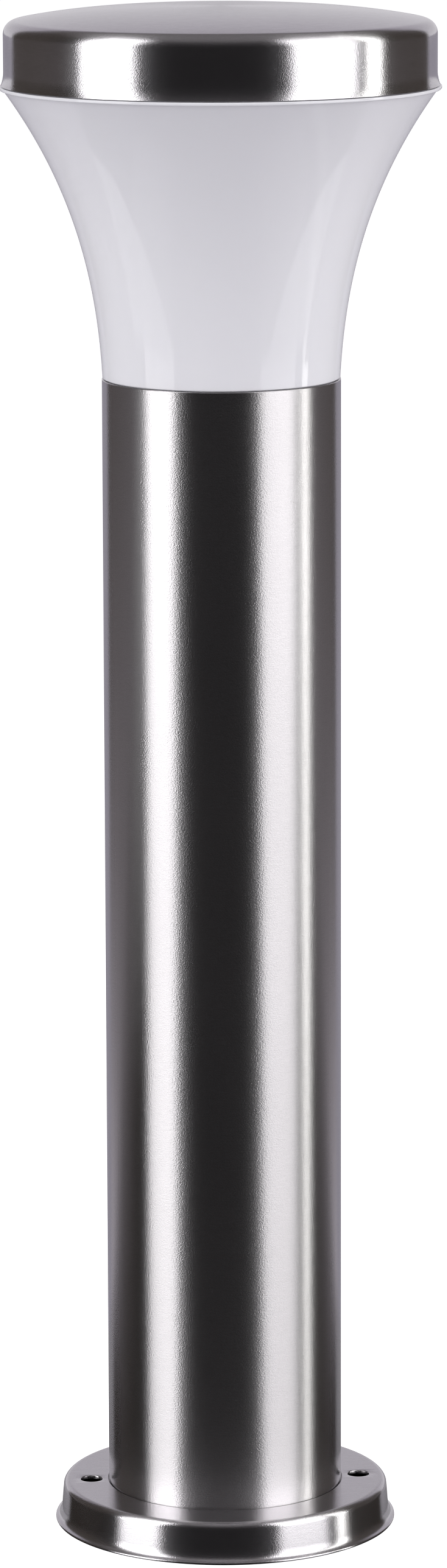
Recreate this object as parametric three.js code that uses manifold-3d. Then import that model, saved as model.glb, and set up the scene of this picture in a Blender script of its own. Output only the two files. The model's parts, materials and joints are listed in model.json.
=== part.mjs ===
// Bollard light: a round column on a pressed foot plate, with a flared opal diffuser under a pressed lid.
// Millimetres, +Z up, origin at the middle of the ground face. The two anchor holes lie on the X axis.
import * as THREE from 'three';
import { mergeVertices } from 'three/addons/utils/BufferGeometryUtils.js';
import Module from 'manifold-3d';

const wasm = await Module();
wasm.setup();

// Clearances shared by every piece
const seatGap = 0.3;
const holeGap = 0.3;
const cutOverrun = 2;
const screwStandOut = 2;
const weldDistance = 1e-4;

// Facets around a turned piece, by its size
const largeSides = 40;
const mediumSides = 20;
const smallSides = 12;
const edgeSteps = 4;

// Column tube
const tubeRadius = 38;
const tubeWall = 1.2;
const tubeLength = 362.7;

// Foot plate
const plateHeight = 13.1;
const plateSheet = 1.4;
const footBorder = 14.9;
const plateEdgeRadius = 2.2;
const skirtDraft = 0.5;
const lipReach = 2.1;
const lipLand = 0.9;
const seatRecess = 0.6;
const anchorPlaceShare = 0.444;
const anchorHoleRadius = 3.5;
const cableHoleRadius = 8;

// Foot disc welded into the tube
const footDiscSheet = 2;
const footRimHeight = 10;
const footCableHoleRadius = 11;

// Cable grommet
const grommetFlange = 2.5;
const grommetLip = 1.4;
const cableBoreRadius = 4.2;

// Tie rods and their nuts
const rodRadius = 2;
const rodStandOut = 0.8;
const nutWidth = 7;
const nutHeight = 3.2;
const washerRadius = 4.5;
const washerThickness = 1;

// Supply cord grip
const cordBracketSheet = 1.5;
const cordBracketWidth = 22;
const cordBracketHeight = 34;
const cordGripLevelShare = 0.72;
const cordGripHeight = 9;
const cordGripDepth = 6;
const cordScrewRadius = 1.5;
const cordScrewHeadRadius = 2.9;
const cordScrewHeadHeight = 2;
const cordScrewPitch = 7.6;

// Lamp carrier disc
const carrierDrop = 35;
const carrierSheet = 1.5;
const carrierEdgeGap = 0.8;
const carrierRimHeight = 6;

// Leaf clips that grip the neck from inside
const clipCount = 3;
const clipSheet = 0.6;
const clipWidth = 9;
const clipFoot = 5.5;
const clipHeight = 28;
const clipSetBack = 1.6;
const clipBulgeShare = 0.7;
const rivetRadius = 1.2;
const rivetHeadRadius = 2.2;
const rivetHeadHeight = 1;

// Lampholder
const holderHeight = 39.5;
const holderWall = 4.6;
const holderShellGap = 0.8;
const holderFloor = 4;
const nippleRadius = 5;
const nippleBoreRadius = 3.6;
const nippleDrop = 8;
const nippleNutWidth = 14;
const nippleNutHeight = 3;
const insertDepth = 11.3;
const insertThickness = 3;
const wireHoleOffset = 5;
const contactRadius = 4;
const contactThickness = 0.8;
const shellWall = 0.6;
const shellGap = 0.4;

// Bulb
const bulbCapRadius = 13.1;
const bulbCapHeight = 19;
const bulbCapWall = 0.4;
const bulbInsulatorHeight = 4;
const bulbInsulatorRadius = 7.4;
const bulbTipRadius = 4.4;
const bulbTipHeight = 1.4;
const bulbPassGap = 3.4;
const bulbLength = 105;
const bulbGlassWall = 0.9;
const bulbTangentAngle = -35;
const bulbSteps = 7;
const bulbWaistSteps = 4;

// Terminal block and its bracket
const blockLength = 26;
const blockDepth = 13;
const blockHeight = 17;
const blockDrop = 19.5;
const blockLegGap = 2;
const blockPoleSpacing = 8.5;
const blockBoreRadius = 1.8;
const blockWellRadius = 1.9;
const blockWellDepth = 4.2;
const blockWellShare = 0.27;
const blockBracketSheet = 1.4;
const blockBracketWidth = 10;
const blockScrewRadius = 1.5;
const blockScrewHeadRadius = 2.8;
const blockScrewHeadHeight = 1.8;

// Earth connection
const earthScrewRadius = 2;
const earthScrewHeadRadius = 3.8;
const earthScrewHeadHeight = 2.4;
const earthNutWidth = 7;
const earthNutHeight = 3;
const lugRadius = 4;
const lugThickness = 0.8;
const lugTail = 9;
const lugBarrelRadius = 1.9;
const lugBarrelLength = 5;

// Leads
const leadRadius = 1.1;
const leadSides = 8;
const leadSteps = 16;
const leadPlugIn = 4;
const leadSpread = 1.5;
const leadLoopDrop = 7;

// Diffuser
const diffuserHeight = 93.2;
const diffuserWall = 2.5;
const shoulderInset = 0.2;
const flareRadius = 68.6;
const flareLinearShare = 0.153;
const flareSquareShare = 0.549;
const flareRollPower = 3;
const flareSteps = 10;
const flangeReach = 1.2;
const flangeThickness = 2.3;
const flangeEdgeRadius = 1.2;
const upstandHeight = 11.5;
const upstandGap = 0.4;
const upstandWall = 2.2;

// Diffuser neck and its O-ring
const neckDepth = 24;
const neckGap = 0.6;
const neckWall = 2.8;
const neckChamfer = 1.2;
const neckTaperHeight = 6;
const oRingRadius = 1;
const oRingDepthShare = 0.45;
const oRingSides = 6;

// Cap
const capSheet = 0.8;
const capWallInset = 0.2;
const capFlare = 0.8;
const capFlareHeight = 4.2;
const capHeight = 24.4;
const capCornerRadius = 4.2;
const capDomeDrop = 5;
const capDomePower = 2.5;
const capSteps = 5;
const capFlareSteps = 3;
const sealHeight = 2.4;

// Places that follow from the sizes above
const tubeBoreRadius = tubeRadius - tubeWall;
const recessRadius = tubeRadius + seatGap;
const skirtRadius = tubeRadius + footBorder;
const plateBorder = skirtRadius - plateEdgeRadius - recessRadius;
const anchorPitchRadius = recessRadius + plateBorder * anchorPlaceShare;
const plateUnderside = plateHeight - plateSheet;
const tubeSeat = plateHeight - seatRecess;
const seatUnderside = tubeSeat - plateSheet;
const tubeFoot = tubeSeat + seatGap;
const tubeRim = tubeFoot + tubeLength;
const footDiscTop = tubeFoot + footDiscSheet;
const carrierTop = tubeRim - carrierDrop;
const carrierUnderside = carrierTop - carrierSheet;
const carrierRadius = tubeBoreRadius - carrierEdgeGap;
const neckBoreRadius = tubeBoreRadius - neckGap - neckWall;
const shoulderLevel = tubeRim + seatGap;
const flareTop = shoulderLevel + diffuserHeight - flangeThickness;
const flangeTop = shoulderLevel + diffuserHeight;
const capFoot = flangeTop + seatGap;
const capApex = capFoot + capHeight;
const capWallRadius = flareRadius - capWallInset;
const upstandRadius = capWallRadius - capSheet - upstandGap;
const holderFoot = carrierTop + seatGap;
const insertLevel = holderFoot + insertDepth;
const insertTop = insertLevel + insertThickness;
const contactTop = insertTop + seatGap + contactThickness;
const bulbTip = contactTop + seatGap;
const shellRadius = bulbCapRadius + shellGap + shellWall;
const holderRadius = shellRadius + holderShellGap + holderWall;
const bulbGlobeRadius = neckBoreRadius - bulbPassGap;
// Rods and earth screw stand midway between the lampholder and the carrier's rim
const fixingPitchRadius = (holderRadius + carrierRadius - carrierSheet) / 2;
const rodHoleRadius = rodRadius + holeGap;
const baseWasherLevel = seatUnderside - seatGap - washerThickness;
const baseNutLevel = baseWasherLevel - seatGap - nutHeight;
const rodFoot = baseNutLevel - rodStandOut;
const carrierUpperNutLevel = carrierTop + seatGap;
const rodTop = carrierUpperNutLevel + nutHeight + rodStandOut;
const hangerTop = carrierUnderside - seatGap;
const blockTop = carrierUnderside - blockDrop;
const blockFoot = blockTop - blockHeight;
const legInner = hexagonCorner(nippleNutWidth) + blockLegGap;
const legOuter = legInner + blockBracketSheet;
const blockInner = legOuter + seatGap;
const blockOuter = blockInner + blockDepth;
const blockOffset = (blockInner + blockOuter) / 2;
const lugTop = hangerTop - blockBracketSheet - seatGap;
const lugFoot = lugTop - lugThickness;
const rodAngles = { front: -Math.PI / 2, rear: Math.PI / 2 };

// Finishes
const finishes = {
  steel: { color: 0xb9b7b8, metalness: 1, roughness: 0.3 },
  polishedSteel: { color: 0xc6c4c6, metalness: 1, roughness: 0.16 },
  zincSteel: { color: 0xb7bbc0, metalness: 1, roughness: 0.42 },
  opal: { color: 0xdfe0e4, metalness: 0, roughness: 0.14 },
  rubber: { color: 0x232324, metalness: 0, roughness: 0.75 },
  silicone: { color: 0xd7d8d6, metalness: 0, roughness: 0.6 },
  ceramic: { color: 0xe9e6dd, metalness: 0, roughness: 0.35 },
  nylon: { color: 0xe6e4dc, metalness: 0, roughness: 0.5 },
  brass: { color: 0xc7a550, metalness: 1, roughness: 0.3 },
  nickel: { color: 0xc3c1b8, metalness: 1, roughness: 0.28 },
  bulbWhite: { color: 0xf1efe8, metalness: 0, roughness: 0.2 },
  blackGlass: { color: 0x17171a, metalness: 0, roughness: 0.25 },
  brownSleeve: { color: 0x5b3520, metalness: 0, roughness: 0.5 },
  blueSleeve: { color: 0x2a57a5, metalness: 0, roughness: 0.5 },
  greenSleeve: { color: 0x5f9a36, metalness: 0, roughness: 0.5 },
};

// A closed three.js geometry becomes a solid with its faces pointing out
function solidFrom(geometry) {
  const bare = geometry.index ? geometry.toNonIndexed() : geometry.clone();
  bare.deleteAttribute('normal');
  bare.deleteAttribute('uv');
  const merged = mergeVertices(bare, weldDistance);
  const places = merged.attributes.position.array;
  const corners = [];
  let volume = 0;
  const a = new THREE.Vector3();
  const b = new THREE.Vector3();
  const c = new THREE.Vector3();
  for (let i = 0; i < merged.index.count; i += 3) {
    const [p, q, r] = [merged.index.getX(i), merged.index.getX(i + 1), merged.index.getX(i + 2)];
    if (p === q || q === r || r === p) continue;
    a.fromArray(places, 3 * p);
    b.fromArray(places, 3 * q);
    c.fromArray(places, 3 * r);
    volume += a.dot(b.cross(c));
    corners.push([p, q, r]);
  }
  const triVerts = new Uint32Array(corners.flatMap((t) => (volume < 0 ? [t[0], t[2], t[1]] : t)));
  const mesh = new wasm.Mesh({ numProp: 3, vertProperties: new Float32Array(places), triVerts });
  return new wasm.Manifold(mesh);
}

// A solid becomes a named mesh of the scene
function piece(name, solid, finish) {
  const { vertProperties, triVerts } = solid.getMesh();
  const geometry = new THREE.BufferGeometry();
  geometry.setAttribute('position', new THREE.BufferAttribute(vertProperties, 3));
  geometry.setIndex(new THREE.BufferAttribute(triVerts, 1));
  geometry.computeVertexNormals();
  const mesh = new THREE.Mesh(geometry, new THREE.MeshStandardMaterial(finishes[finish]));
  mesh.name = name;
  return mesh;
}

function point(radius, level) {
  return new THREE.Vector2(radius, level);
}

// Outline points along an arc, angles in degrees from the radial direction
function arc(centreRadius, centreLevel, radius, fromAngle, toAngle, steps) {
  return Array.from({ length: steps + 1 }, (_, i) => {
    const angle = THREE.MathUtils.degToRad(fromAngle + ((toAngle - fromAngle) * i) / steps);
    return point(centreRadius + radius * Math.cos(angle), centreLevel + radius * Math.sin(angle));
  });
}

// An outline that starts and ends on the Z axis, turned about it
function turnedCore(outline, sides) {
  const geometry = new THREE.LatheGeometry(outline, sides);
  geometry.rotateX(Math.PI / 2);
  return solidFrom(geometry);
}

// An outline of radius and level that closes on itself, turned about the Z axis
function turned(outline, sides) {
  return turnedCore([...outline, outline[0]], sides);
}

function ring(innerRadius, outerRadius, low, high, sides) {
  return turned([
    point(innerRadius, low), point(outerRadius, low), point(outerRadius, high), point(innerRadius, high),
  ], sides);
}

// A round bar from one level to another, about an upright axis at x, y
function bar(radius, low, high, x = 0, y = 0, sides = smallSides) {
  const geometry = new THREE.CylinderGeometry(radius, radius, high - low, sides);
  geometry.rotateX(Math.PI / 2);
  geometry.translate(x, y, (low + high) / 2);
  return solidFrom(geometry);
}

// The solid with a round upright hole through it
function drilled(solid, radius, low, high, x, y, sides = smallSides) {
  return solid.subtract(bar(radius, low - cutOverrun, high + cutOverrun, x, y, sides));
}

// A round bar along X or Y, from one place to another
function crossBar(axis, radius, from, to, other, level, sides = smallSides) {
  const geometry = new THREE.CylinderGeometry(radius, radius, to - from, sides);
  const middle = (from + to) / 2;
  if (axis === 'x') {
    geometry.rotateZ(Math.PI / 2);
    geometry.translate(middle, other, level);
  } else {
    geometry.translate(other, middle, level);
  }
  return solidFrom(geometry);
}

// A box given by its two far corners
function block(x0, x1, y0, y1, z0, z1) {
  const geometry = new THREE.BoxGeometry(x1 - x0, y1 - y0, z1 - z0);
  geometry.translate((x0 + x1) / 2, (y0 + y1) / 2, (z0 + z1) / 2);
  return solidFrom(geometry);
}

// A plate of any outline, lying flat
function plate(shape, low, thickness) {
  const geometry = new THREE.ExtrudeGeometry(shape, {
    depth: thickness, bevelEnabled: false, curveSegments: smallSides / 2,
  });
  geometry.translate(0, 0, low);
  return solidFrom(geometry);
}

function hexagonCorner(width) {
  return width / 2 / Math.cos(Math.PI / 6);
}

function hexagon(width, holeRadius, x, y) {
  const corner = hexagonCorner(width);
  const corners = Array.from({ length: 6 }, (_, i) => {
    const angle = (i * Math.PI) / 3;
    return new THREE.Vector2(x + corner * Math.cos(angle), y + corner * Math.sin(angle));
  });
  const shape = new THREE.Shape(corners);
  shape.holes.push(new THREE.Path().absarc(x, y, holeRadius, 0, 2 * Math.PI, true));
  return shape;
}

function nut(width, height, boltRadius, low, x, y) {
  return plate(hexagon(width, boltRadius + holeGap, x, y), low, height);
}

function rodPlace(side) {
  const angle = rodAngles[side];
  return [fixingPitchRadius * Math.cos(angle), fixingPitchRadius * Math.sin(angle)];
}

// The solid with a hole for each tie rod
function drilledForRods(solid, low, high) {
  return Object.keys(rodAngles).reduce((part, side) => (
    drilled(part, rodHoleRadius, low, high, ...rodPlace(side))
  ), solid);
}

// Foot: plate, welded disc, grommet, rods and the cord grip

// The plate's middle is pressed down a little, and that recess centres the tube
function basePlate() {
  const skirtFoot = skirtRadius + skirtDraft;
  const lipRadius = skirtFoot + lipReach;
  const coveRadius = lipReach - lipLand;
  const coveLevel = plateSheet + coveRadius;
  const innerEdge = Math.max(plateEdgeRadius - plateSheet, plateSheet / 4);
  const outline = [
    point(cableHoleRadius, seatUnderside),
    point(recessRadius + plateSheet / 2, seatUnderside),
    point(recessRadius + plateSheet / 2, plateUnderside),
    point(skirtRadius - plateSheet - innerEdge, plateUnderside),
    point(skirtRadius - plateSheet, plateUnderside - innerEdge),
    point(skirtFoot - plateSheet, coveLevel),
    ...arc(skirtFoot + coveRadius, coveLevel, coveRadius + plateSheet, 180, 270, edgeSteps - 1).slice(1),
    point(lipRadius, 0),
    point(lipRadius, plateSheet),
    ...arc(skirtFoot + coveRadius, coveLevel, coveRadius, 270, 180, edgeSteps),
    ...arc(skirtRadius - plateEdgeRadius, plateHeight - plateEdgeRadius, plateEdgeRadius, 0, 90, edgeSteps),
    point(recessRadius, plateHeight),
    point(recessRadius, tubeSeat),
    point(cableHoleRadius, tubeSeat),
  ];
  let solid = drilledForRods(turned(outline, largeSides), seatUnderside, tubeSeat);
  for (const x of [-anchorPitchRadius, anchorPitchRadius]) {
    solid = drilled(solid, anchorHoleRadius, plateUnderside, plateHeight, x, 0, mediumSides);
  }
  return piece('base_plate', solid, 'polishedSteel');
}

function columnTube() {
  return piece('tube', ring(tubeBoreRadius, tubeRadius, tubeFoot, tubeRim, largeSides), 'steel');
}

function footDisc() {
  const outer = tubeBoreRadius - seatGap;
  const outline = [
    point(footCableHoleRadius, tubeFoot),
    point(outer, tubeFoot),
    point(outer, tubeFoot + footRimHeight),
    point(outer - footDiscSheet, tubeFoot + footRimHeight),
    point(outer - footDiscSheet, footDiscTop),
    point(footCableHoleRadius, footDiscTop),
  ];
  return piece('foot_disc', drilledForRods(turned(outline, largeSides), tubeFoot, footDiscTop), 'zincSteel');
}

function cableGrommet() {
  const groove = cableHoleRadius - seatGap;
  const flange = cableHoleRadius + grommetFlange;
  const lowerLip = seatUnderside - seatGap;
  const upperLip = tubeSeat + seatGap;
  const solid = turned([
    point(cableBoreRadius, lowerLip - grommetLip),
    point(flange, lowerLip - grommetLip),
    point(flange, lowerLip),
    point(groove, lowerLip),
    point(groove, upperLip),
    point(flange, upperLip),
    point(flange, upperLip + grommetLip),
    point(cableBoreRadius, upperLip + grommetLip),
  ], mediumSides);
  return piece('cable_grommet', solid, 'rubber');
}

function tieRodSet(side) {
  const [x, y] = rodPlace(side);
  const footNutLevel = footDiscTop + seatGap + (side === 'rear' ? cordBracketSheet + seatGap : 0);
  const washerTop = baseWasherLevel + washerThickness;
  const washer = ring(rodHoleRadius, washerRadius, baseWasherLevel, washerTop, smallSides);
  const nutLevels = {
    base_nut: baseNutLevel,
    foot_nut: footNutLevel,
    carrier_lower_nut: carrierUnderside - seatGap - nutHeight,
    carrier_upper_nut: carrierUpperNutLevel,
  };
  return [
    piece(`tie_rod_${side}`, bar(rodRadius, rodFoot, rodTop, x, y), 'zincSteel'),
    piece(`base_washer_${side}`, washer.translate([x, y, 0]), 'zincSteel'),
    ...Object.entries(nutLevels).map(([name, level]) => (
      piece(`${name}_${side}`, nut(nutWidth, nutHeight, rodRadius, level, x, y), 'zincSteel')
    )),
  ];
}

function cordGrip() {
  const foot = footDiscTop + seatGap;
  const face = cableBoreRadius + seatGap;
  const rim = tubeBoreRadius - seatGap - footDiscSheet;
  const half = cordBracketWidth / 2;
  const grip = foot + cordBracketHeight * cordGripLevelShare;
  const uprightBack = face + cordBracketSheet;
  const narrow = nutWidth;
  const toe = Math.sqrt((rim - 2 * seatGap) ** 2 - narrow ** 2);
  let bracket = block(-half, half, face, uprightBack, foot, foot + cordBracketHeight);
  bracket = bracket.add(block(-narrow, narrow, face, toe, foot, foot + cordBracketSheet));
  bracket = drilled(bracket, rodHoleRadius, foot, foot + cordBracketSheet, ...rodPlace('rear'));
  const clampBack = face - seatGap - cableBoreRadius / 4;
  const clampFront = clampBack - cableBoreRadius - cordGripDepth;
  const low = grip - cordGripHeight / 2;
  const high = grip + cordGripHeight / 2;
  const throat = block(-cableBoreRadius, cableBoreRadius, 0, clampBack + cutOverrun,
    low - cutOverrun, high + cutOverrun);
  let clamp = block(-half, half, clampFront, clampBack, low, high).subtract(throat);
  clamp = drilled(clamp, cableBoreRadius, low, high, 0, 0, mediumSides);
  const headBack = clampFront - seatGap;
  const headFront = headBack - cordScrewHeadHeight;
  const screwEnd = uprightBack + screwStandOut;
  const pieces = [];
  for (const [name, x] of [['left', -cordScrewPitch], ['right', cordScrewPitch]]) {
    const holeRadius = cordScrewRadius + holeGap;
    const hole = crossBar('y', holeRadius, clampFront - cutOverrun, uprightBack + cutOverrun, x, grip);
    bracket = bracket.subtract(hole);
    clamp = clamp.subtract(hole);
    const shank = crossBar('y', cordScrewRadius, (headFront + headBack) / 2, screwEnd, x, grip);
    const screw = shank.add(crossBar('y', cordScrewHeadRadius, headFront, headBack, x, grip));
    pieces.push(piece(`cord_clamp_screw_${name}`, screw, 'zincSteel'));
  }
  return [piece('cord_bracket', bracket, 'zincSteel'), piece('cord_clamp', clamp, 'nylon'), ...pieces];
}

// Upper carrier: pressed disc and leaf clips

function clipAngle(index) {
  return (2 * Math.PI * (index + 1 / 2)) / clipCount;
}

// Where a clip is riveted to the carrier
function rivetPlace(index) {
  const radius = neckBoreRadius - clipSetBack - clipSheet - seatGap - rivetHeadRadius;
  return [radius * Math.cos(clipAngle(index)), radius * Math.sin(clipAngle(index))];
}

function lampCarrier() {
  const outer = carrierRadius;
  const inner = nippleRadius + holeGap;
  const outline = [
    point(inner, carrierUnderside),
    point(outer - carrierSheet, carrierUnderside),
    point(outer - carrierSheet, carrierUnderside - carrierRimHeight),
    point(outer, carrierUnderside - carrierRimHeight),
    point(outer, carrierTop - carrierSheet / 2),
    point(outer - carrierSheet / 2, carrierTop),
    point(inner, carrierTop),
  ];
  let solid = drilledForRods(turned(outline, largeSides), carrierUnderside, carrierTop);
  for (let i = 0; i < clipCount; i += 1) {
    solid = drilled(solid, rivetRadius + holeGap, carrierUnderside, carrierTop, ...rivetPlace(i));
  }
  solid = drilled(solid, earthScrewRadius + holeGap, carrierUnderside, carrierTop, fixingPitchRadius, 0);
  return piece('lamp_carrier', solid, 'zincSteel');
}

// The clip's side view is a bent strip: foot, upright with a bulge towards the neck, and a lead-in tip
function leafClip(index) {
  const back = neckBoreRadius - clipSetBack;
  const bulge = Math.sqrt((neckBoreRadius - seatGap) ** 2 - (clipWidth / 2) ** 2) - clipSheet;
  const foot = carrierTop + seatGap;
  const outside = [
    point(back - clipFoot, foot + clipSheet),
    point(back - clipSheet, foot + clipSheet),
    point(back - clipSheet, foot + clipHeight * clipBulgeShare / 2),
    point(bulge, foot + clipHeight * clipBulgeShare),
    point(back - clipSheet, foot + clipHeight),
  ];
  const shifted = outside.map((p) => point(p.x + clipSheet, p.y)).reverse();
  const shape = new THREE.Shape([
    ...outside, ...shifted.slice(0, -2), point(back, foot), point(back - clipFoot, foot),
  ]);
  const geometry = new THREE.ExtrudeGeometry(shape, { depth: clipWidth, bevelEnabled: false });
  geometry.translate(0, 0, -clipWidth / 2);
  geometry.rotateX(Math.PI / 2);
  geometry.rotateZ(clipAngle(index));
  const [x, y] = rivetPlace(index);
  const clip = drilled(solidFrom(geometry), rivetRadius + holeGap, foot, foot + clipSheet, x, y);
  const lowerHead = carrierUnderside - seatGap;
  const upperHead = foot + clipSheet + seatGap;
  const rivet = turnedCore([
    point(0, lowerHead - rivetHeadHeight),
    point(rivetHeadRadius, lowerHead - rivetHeadHeight),
    point(rivetHeadRadius, lowerHead),
    point(rivetRadius, lowerHead),
    point(rivetRadius, upperHead),
    point(rivetHeadRadius, upperHead),
    point(rivetHeadRadius / 2, upperHead + rivetHeadHeight),
    point(0, upperHead + rivetHeadHeight),
  ], smallSides);
  return [
    piece(`leaf_clip_${index + 1}`, clip, 'nickel'),
    piece(`clip_rivet_${index + 1}`, rivet.translate([x, y, 0]), 'zincSteel'),
  ];
}

// Lampholder

function lampholder() {
  const bore = holderRadius - holderWall;
  const top = holderFoot + holderHeight;
  const entry = nippleRadius + holeGap;
  const body = turned([
    point(entry, holderFoot),
    point(holderRadius - holderWall / 4, holderFoot),
    point(holderRadius, holderFoot + holderWall / 4),
    point(holderRadius, top - holderWall / 4),
    point(holderRadius - holderWall / 4, top),
    point(bore + holderWall / 4, top),
    point(bore, top - holderWall / 4),
    point(bore, insertLevel - seatGap),
    point(bore - holderWall / 3, insertLevel - seatGap),
    point(bore - holderWall / 3, holderFoot + holderFloor),
    point(entry, holderFoot + holderFloor),
  ], mediumSides);
  let insert = bar(bore - seatGap, insertLevel, insertTop, 0, 0, mediumSides);
  for (const x of [-wireHoleOffset, wireHoleOffset]) {
    insert = drilled(insert, leadRadius + holeGap, insertLevel, insertTop, x, 0);
  }
  const shellFoot = insertTop + seatGap;
  const shellFloor = shellFoot + shellWall;
  const shellTop = top - holderWall / 2;
  const shell = ring(shellRadius - shellWall, shellRadius, shellFoot, shellTop, mediumSides)
    .add(ring(shellRadius - holderWall / 2, shellRadius, shellFoot, shellFloor, mediumSides));
  const contact = bar(contactRadius, shellFoot, shellFoot + contactThickness, 0, 0, smallSides);
  const nipple = ring(nippleBoreRadius, nippleRadius, carrierUnderside - nippleDrop,
    holderFoot + holderFloor - seatGap, mediumSides);
  const nippleNut = nut(nippleNutWidth, nippleNutHeight, nippleRadius,
    carrierUnderside - seatGap - nippleNutHeight, 0, 0);
  return [
    piece('lampholder_body', body, 'ceramic'),
    piece('lampholder_insert', insert, 'ceramic'),
    piece('lampholder_shell', shell, 'brass'),
    piece('lampholder_contact', contact, 'brass'),
    piece('holder_nipple', nipple, 'zincSteel'),
    piece('nipple_nut', nippleNut, 'zincSteel'),
  ];
}

// Bulb

function bulb() {
  const tipTop = bulbTip + bulbTipHeight;
  const insulatorFoot = tipTop + seatGap;
  const capFootLevel = insulatorFoot + bulbInsulatorHeight + seatGap;
  const capTop = capFootLevel + bulbCapHeight;
  const contact = turnedCore([
    point(0, bulbTip), point(bulbTipRadius / 2, bulbTip), point(bulbTipRadius, bulbTip + bulbTipHeight / 2),
    point(bulbTipRadius, tipTop), point(0, tipTop),
  ], smallSides);
  const insulatorTop = insulatorFoot + bulbInsulatorHeight;
  const insulator = turnedCore([
    point(0, insulatorFoot), point(bulbInsulatorRadius, insulatorFoot),
    point(bulbCapRadius - seatGap, insulatorTop), point(0, insulatorTop),
  ], mediumSides);
  const capInner = bulbCapRadius - bulbCapWall;
  const screwCap = ring(capInner, bulbCapRadius, capFootLevel, capTop, mediumSides);
  const neck = capInner - seatGap;
  const globeLevel = bulbTip + bulbLength - bulbGlobeRadius;
  const tangent = THREE.MathUtils.degToRad(bulbTangentAngle);
  const start = point(
    bulbGlobeRadius * Math.cos(tangent),
    globeLevel + bulbGlobeRadius * Math.sin(tangent),
  );
  const neckTop = capTop + holderWall / 4;
  const control = point(neck, Math.max(neckTop, start.y - (start.x - neck) / Math.tan(-tangent)));
  const curve = new THREE.QuadraticBezierCurve(point(neck, neckTop), control, start);
  const waist = curve.getPoints(bulbWaistSteps);
  const outer = [
    point(neck, capFootLevel + bulbCapHeight / 2),
    ...waist,
    ...arc(0, globeLevel, bulbGlobeRadius, bulbTangentAngle, 90, bulbSteps).slice(1, -1),
    point(0, globeLevel + bulbGlobeRadius),
  ];
  const inner = [
    point(0, globeLevel + bulbGlobeRadius - bulbGlassWall),
    ...arc(0, globeLevel, bulbGlobeRadius - bulbGlassWall, 90, bulbTangentAngle, bulbSteps - 2).slice(1, -1),
    ...waist.map((p) => point(p.x - bulbGlassWall, p.y)).reverse(),
    point(neck - bulbGlassWall, capFootLevel + bulbCapHeight / 2),
  ];
  const glass = turned([...outer, ...inner], mediumSides);
  return [
    piece('bulb_glass', glass, 'bulbWhite'),
    piece('bulb_screw_cap', screwCap, 'nickel'),
    piece('bulb_insulator', insulator, 'blackGlass'),
    piece('bulb_contact', contact, 'nickel'),
  ];
}

// Terminal block, earth connection and leads

// The block hangs on a bent bracket beside the nipple, its screws turned outwards
function terminalBlock() {
  const half = blockBracketWidth / 2;
  const armFoot = hangerTop - blockBracketSheet;
  const armEnd = fixingPitchRadius + blockBracketWidth / 4;
  const screwLevel = blockFoot + blockHeight / 2;
  const screwY = blockPoleSpacing / 2;
  const padHalf = screwY + blockScrewRadius + holeGap + blockBracketSheet;
  const padFoot = blockFoot + blockHeight / 4;
  let bracket = block(legInner, armEnd, -half, half, armFoot, hangerTop)
    .add(block(legInner, legOuter, -half, half, padFoot, hangerTop))
    .add(block(legInner, legOuter, -padHalf, padHalf, padFoot, blockTop - leadPlugIn));
  bracket = drilled(bracket, earthScrewRadius + holeGap, armFoot, hangerTop, fixingPitchRadius, 0);
  let body = block(blockInner, blockOuter, -blockLength / 2, blockLength / 2, blockFoot, blockTop);
  const wellFloor = blockOuter - blockWellDepth;
  for (const pole of [-1, 0, 1]) {
    const y = pole * blockPoleSpacing;
    body = drilled(body, blockBoreRadius, blockFoot, blockTop, blockOffset, y);
    for (const share of [blockWellShare, 1 - blockWellShare]) {
      const level = blockFoot + blockHeight * share;
      body = body.subtract(crossBar('x', blockWellRadius, wellFloor, blockOuter + cutOverrun, y, level));
    }
  }
  const screwHole = crossBar('x', blockScrewRadius + holeGap, legInner - cutOverrun, blockOuter + cutOverrun,
    screwY, screwLevel);
  const headFace = blockOuter + seatGap;
  const headEnd = headFace + blockScrewHeadHeight;
  const shank = crossBar('x', blockScrewRadius, legInner - screwStandOut, (headFace + headEnd) / 2,
    screwY, screwLevel);
  const screw = shank.add(crossBar('x', blockScrewHeadRadius, headFace, headEnd, screwY, screwLevel));
  return [
    piece('block_bracket', bracket.subtract(screwHole), 'zincSteel'),
    piece('terminal_block', body.subtract(screwHole), 'nylon'),
    piece('block_screw', screw, 'zincSteel'),
  ];
}

// Screw through the carrier, with the earth lead's lug clamped under the bracket
function earthConnection() {
  const nutTop = lugFoot - seatGap;
  const nutFoot = nutTop - earthNutHeight;
  const headLevel = carrierTop + seatGap;
  const headTop = headLevel + earthScrewHeadHeight;
  const screw = bar(earthScrewRadius, nutFoot - rodStandOut, (headLevel + headTop) / 2, fixingPitchRadius, 0)
    .add(bar(earthScrewHeadRadius, headLevel, headTop, fixingPitchRadius, 0));
  const bore = leadRadius + holeGap;
  const barrelFoot = lugFoot - lugBarrelLength;
  const barrel = ring(bore, lugBarrelRadius, barrelFoot, lugFoot + lugThickness / 2, smallSides)
    .translate([fixingPitchRadius, lugTail, 0]);
  const [tailInner, tailOuter] = [fixingPitchRadius - lugBarrelRadius, fixingPitchRadius + lugBarrelRadius];
  const tail = block(tailInner, tailOuter, 0, lugTail, lugFoot, lugTop);
  const plug = bar(bore, barrelFoot - cutOverrun, lugTop - lugThickness / 2, fixingPitchRadius, lugTail);
  const eye = bar(lugRadius, lugFoot, lugTop, fixingPitchRadius, 0, mediumSides);
  const lug = drilled(eye.add(tail), earthScrewRadius + holeGap, lugFoot, lugTop, fixingPitchRadius, 0);
  const earthNut = nut(earthNutWidth, earthNutHeight, earthScrewRadius, nutFoot, fixingPitchRadius, 0);
  return [
    piece('earth_screw', screw, 'brass'),
    piece('earth_nut', earthNut, 'brass'),
    piece('earth_lug', lug.add(barrel).subtract(plug), 'nickel'),
  ];
}

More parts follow.
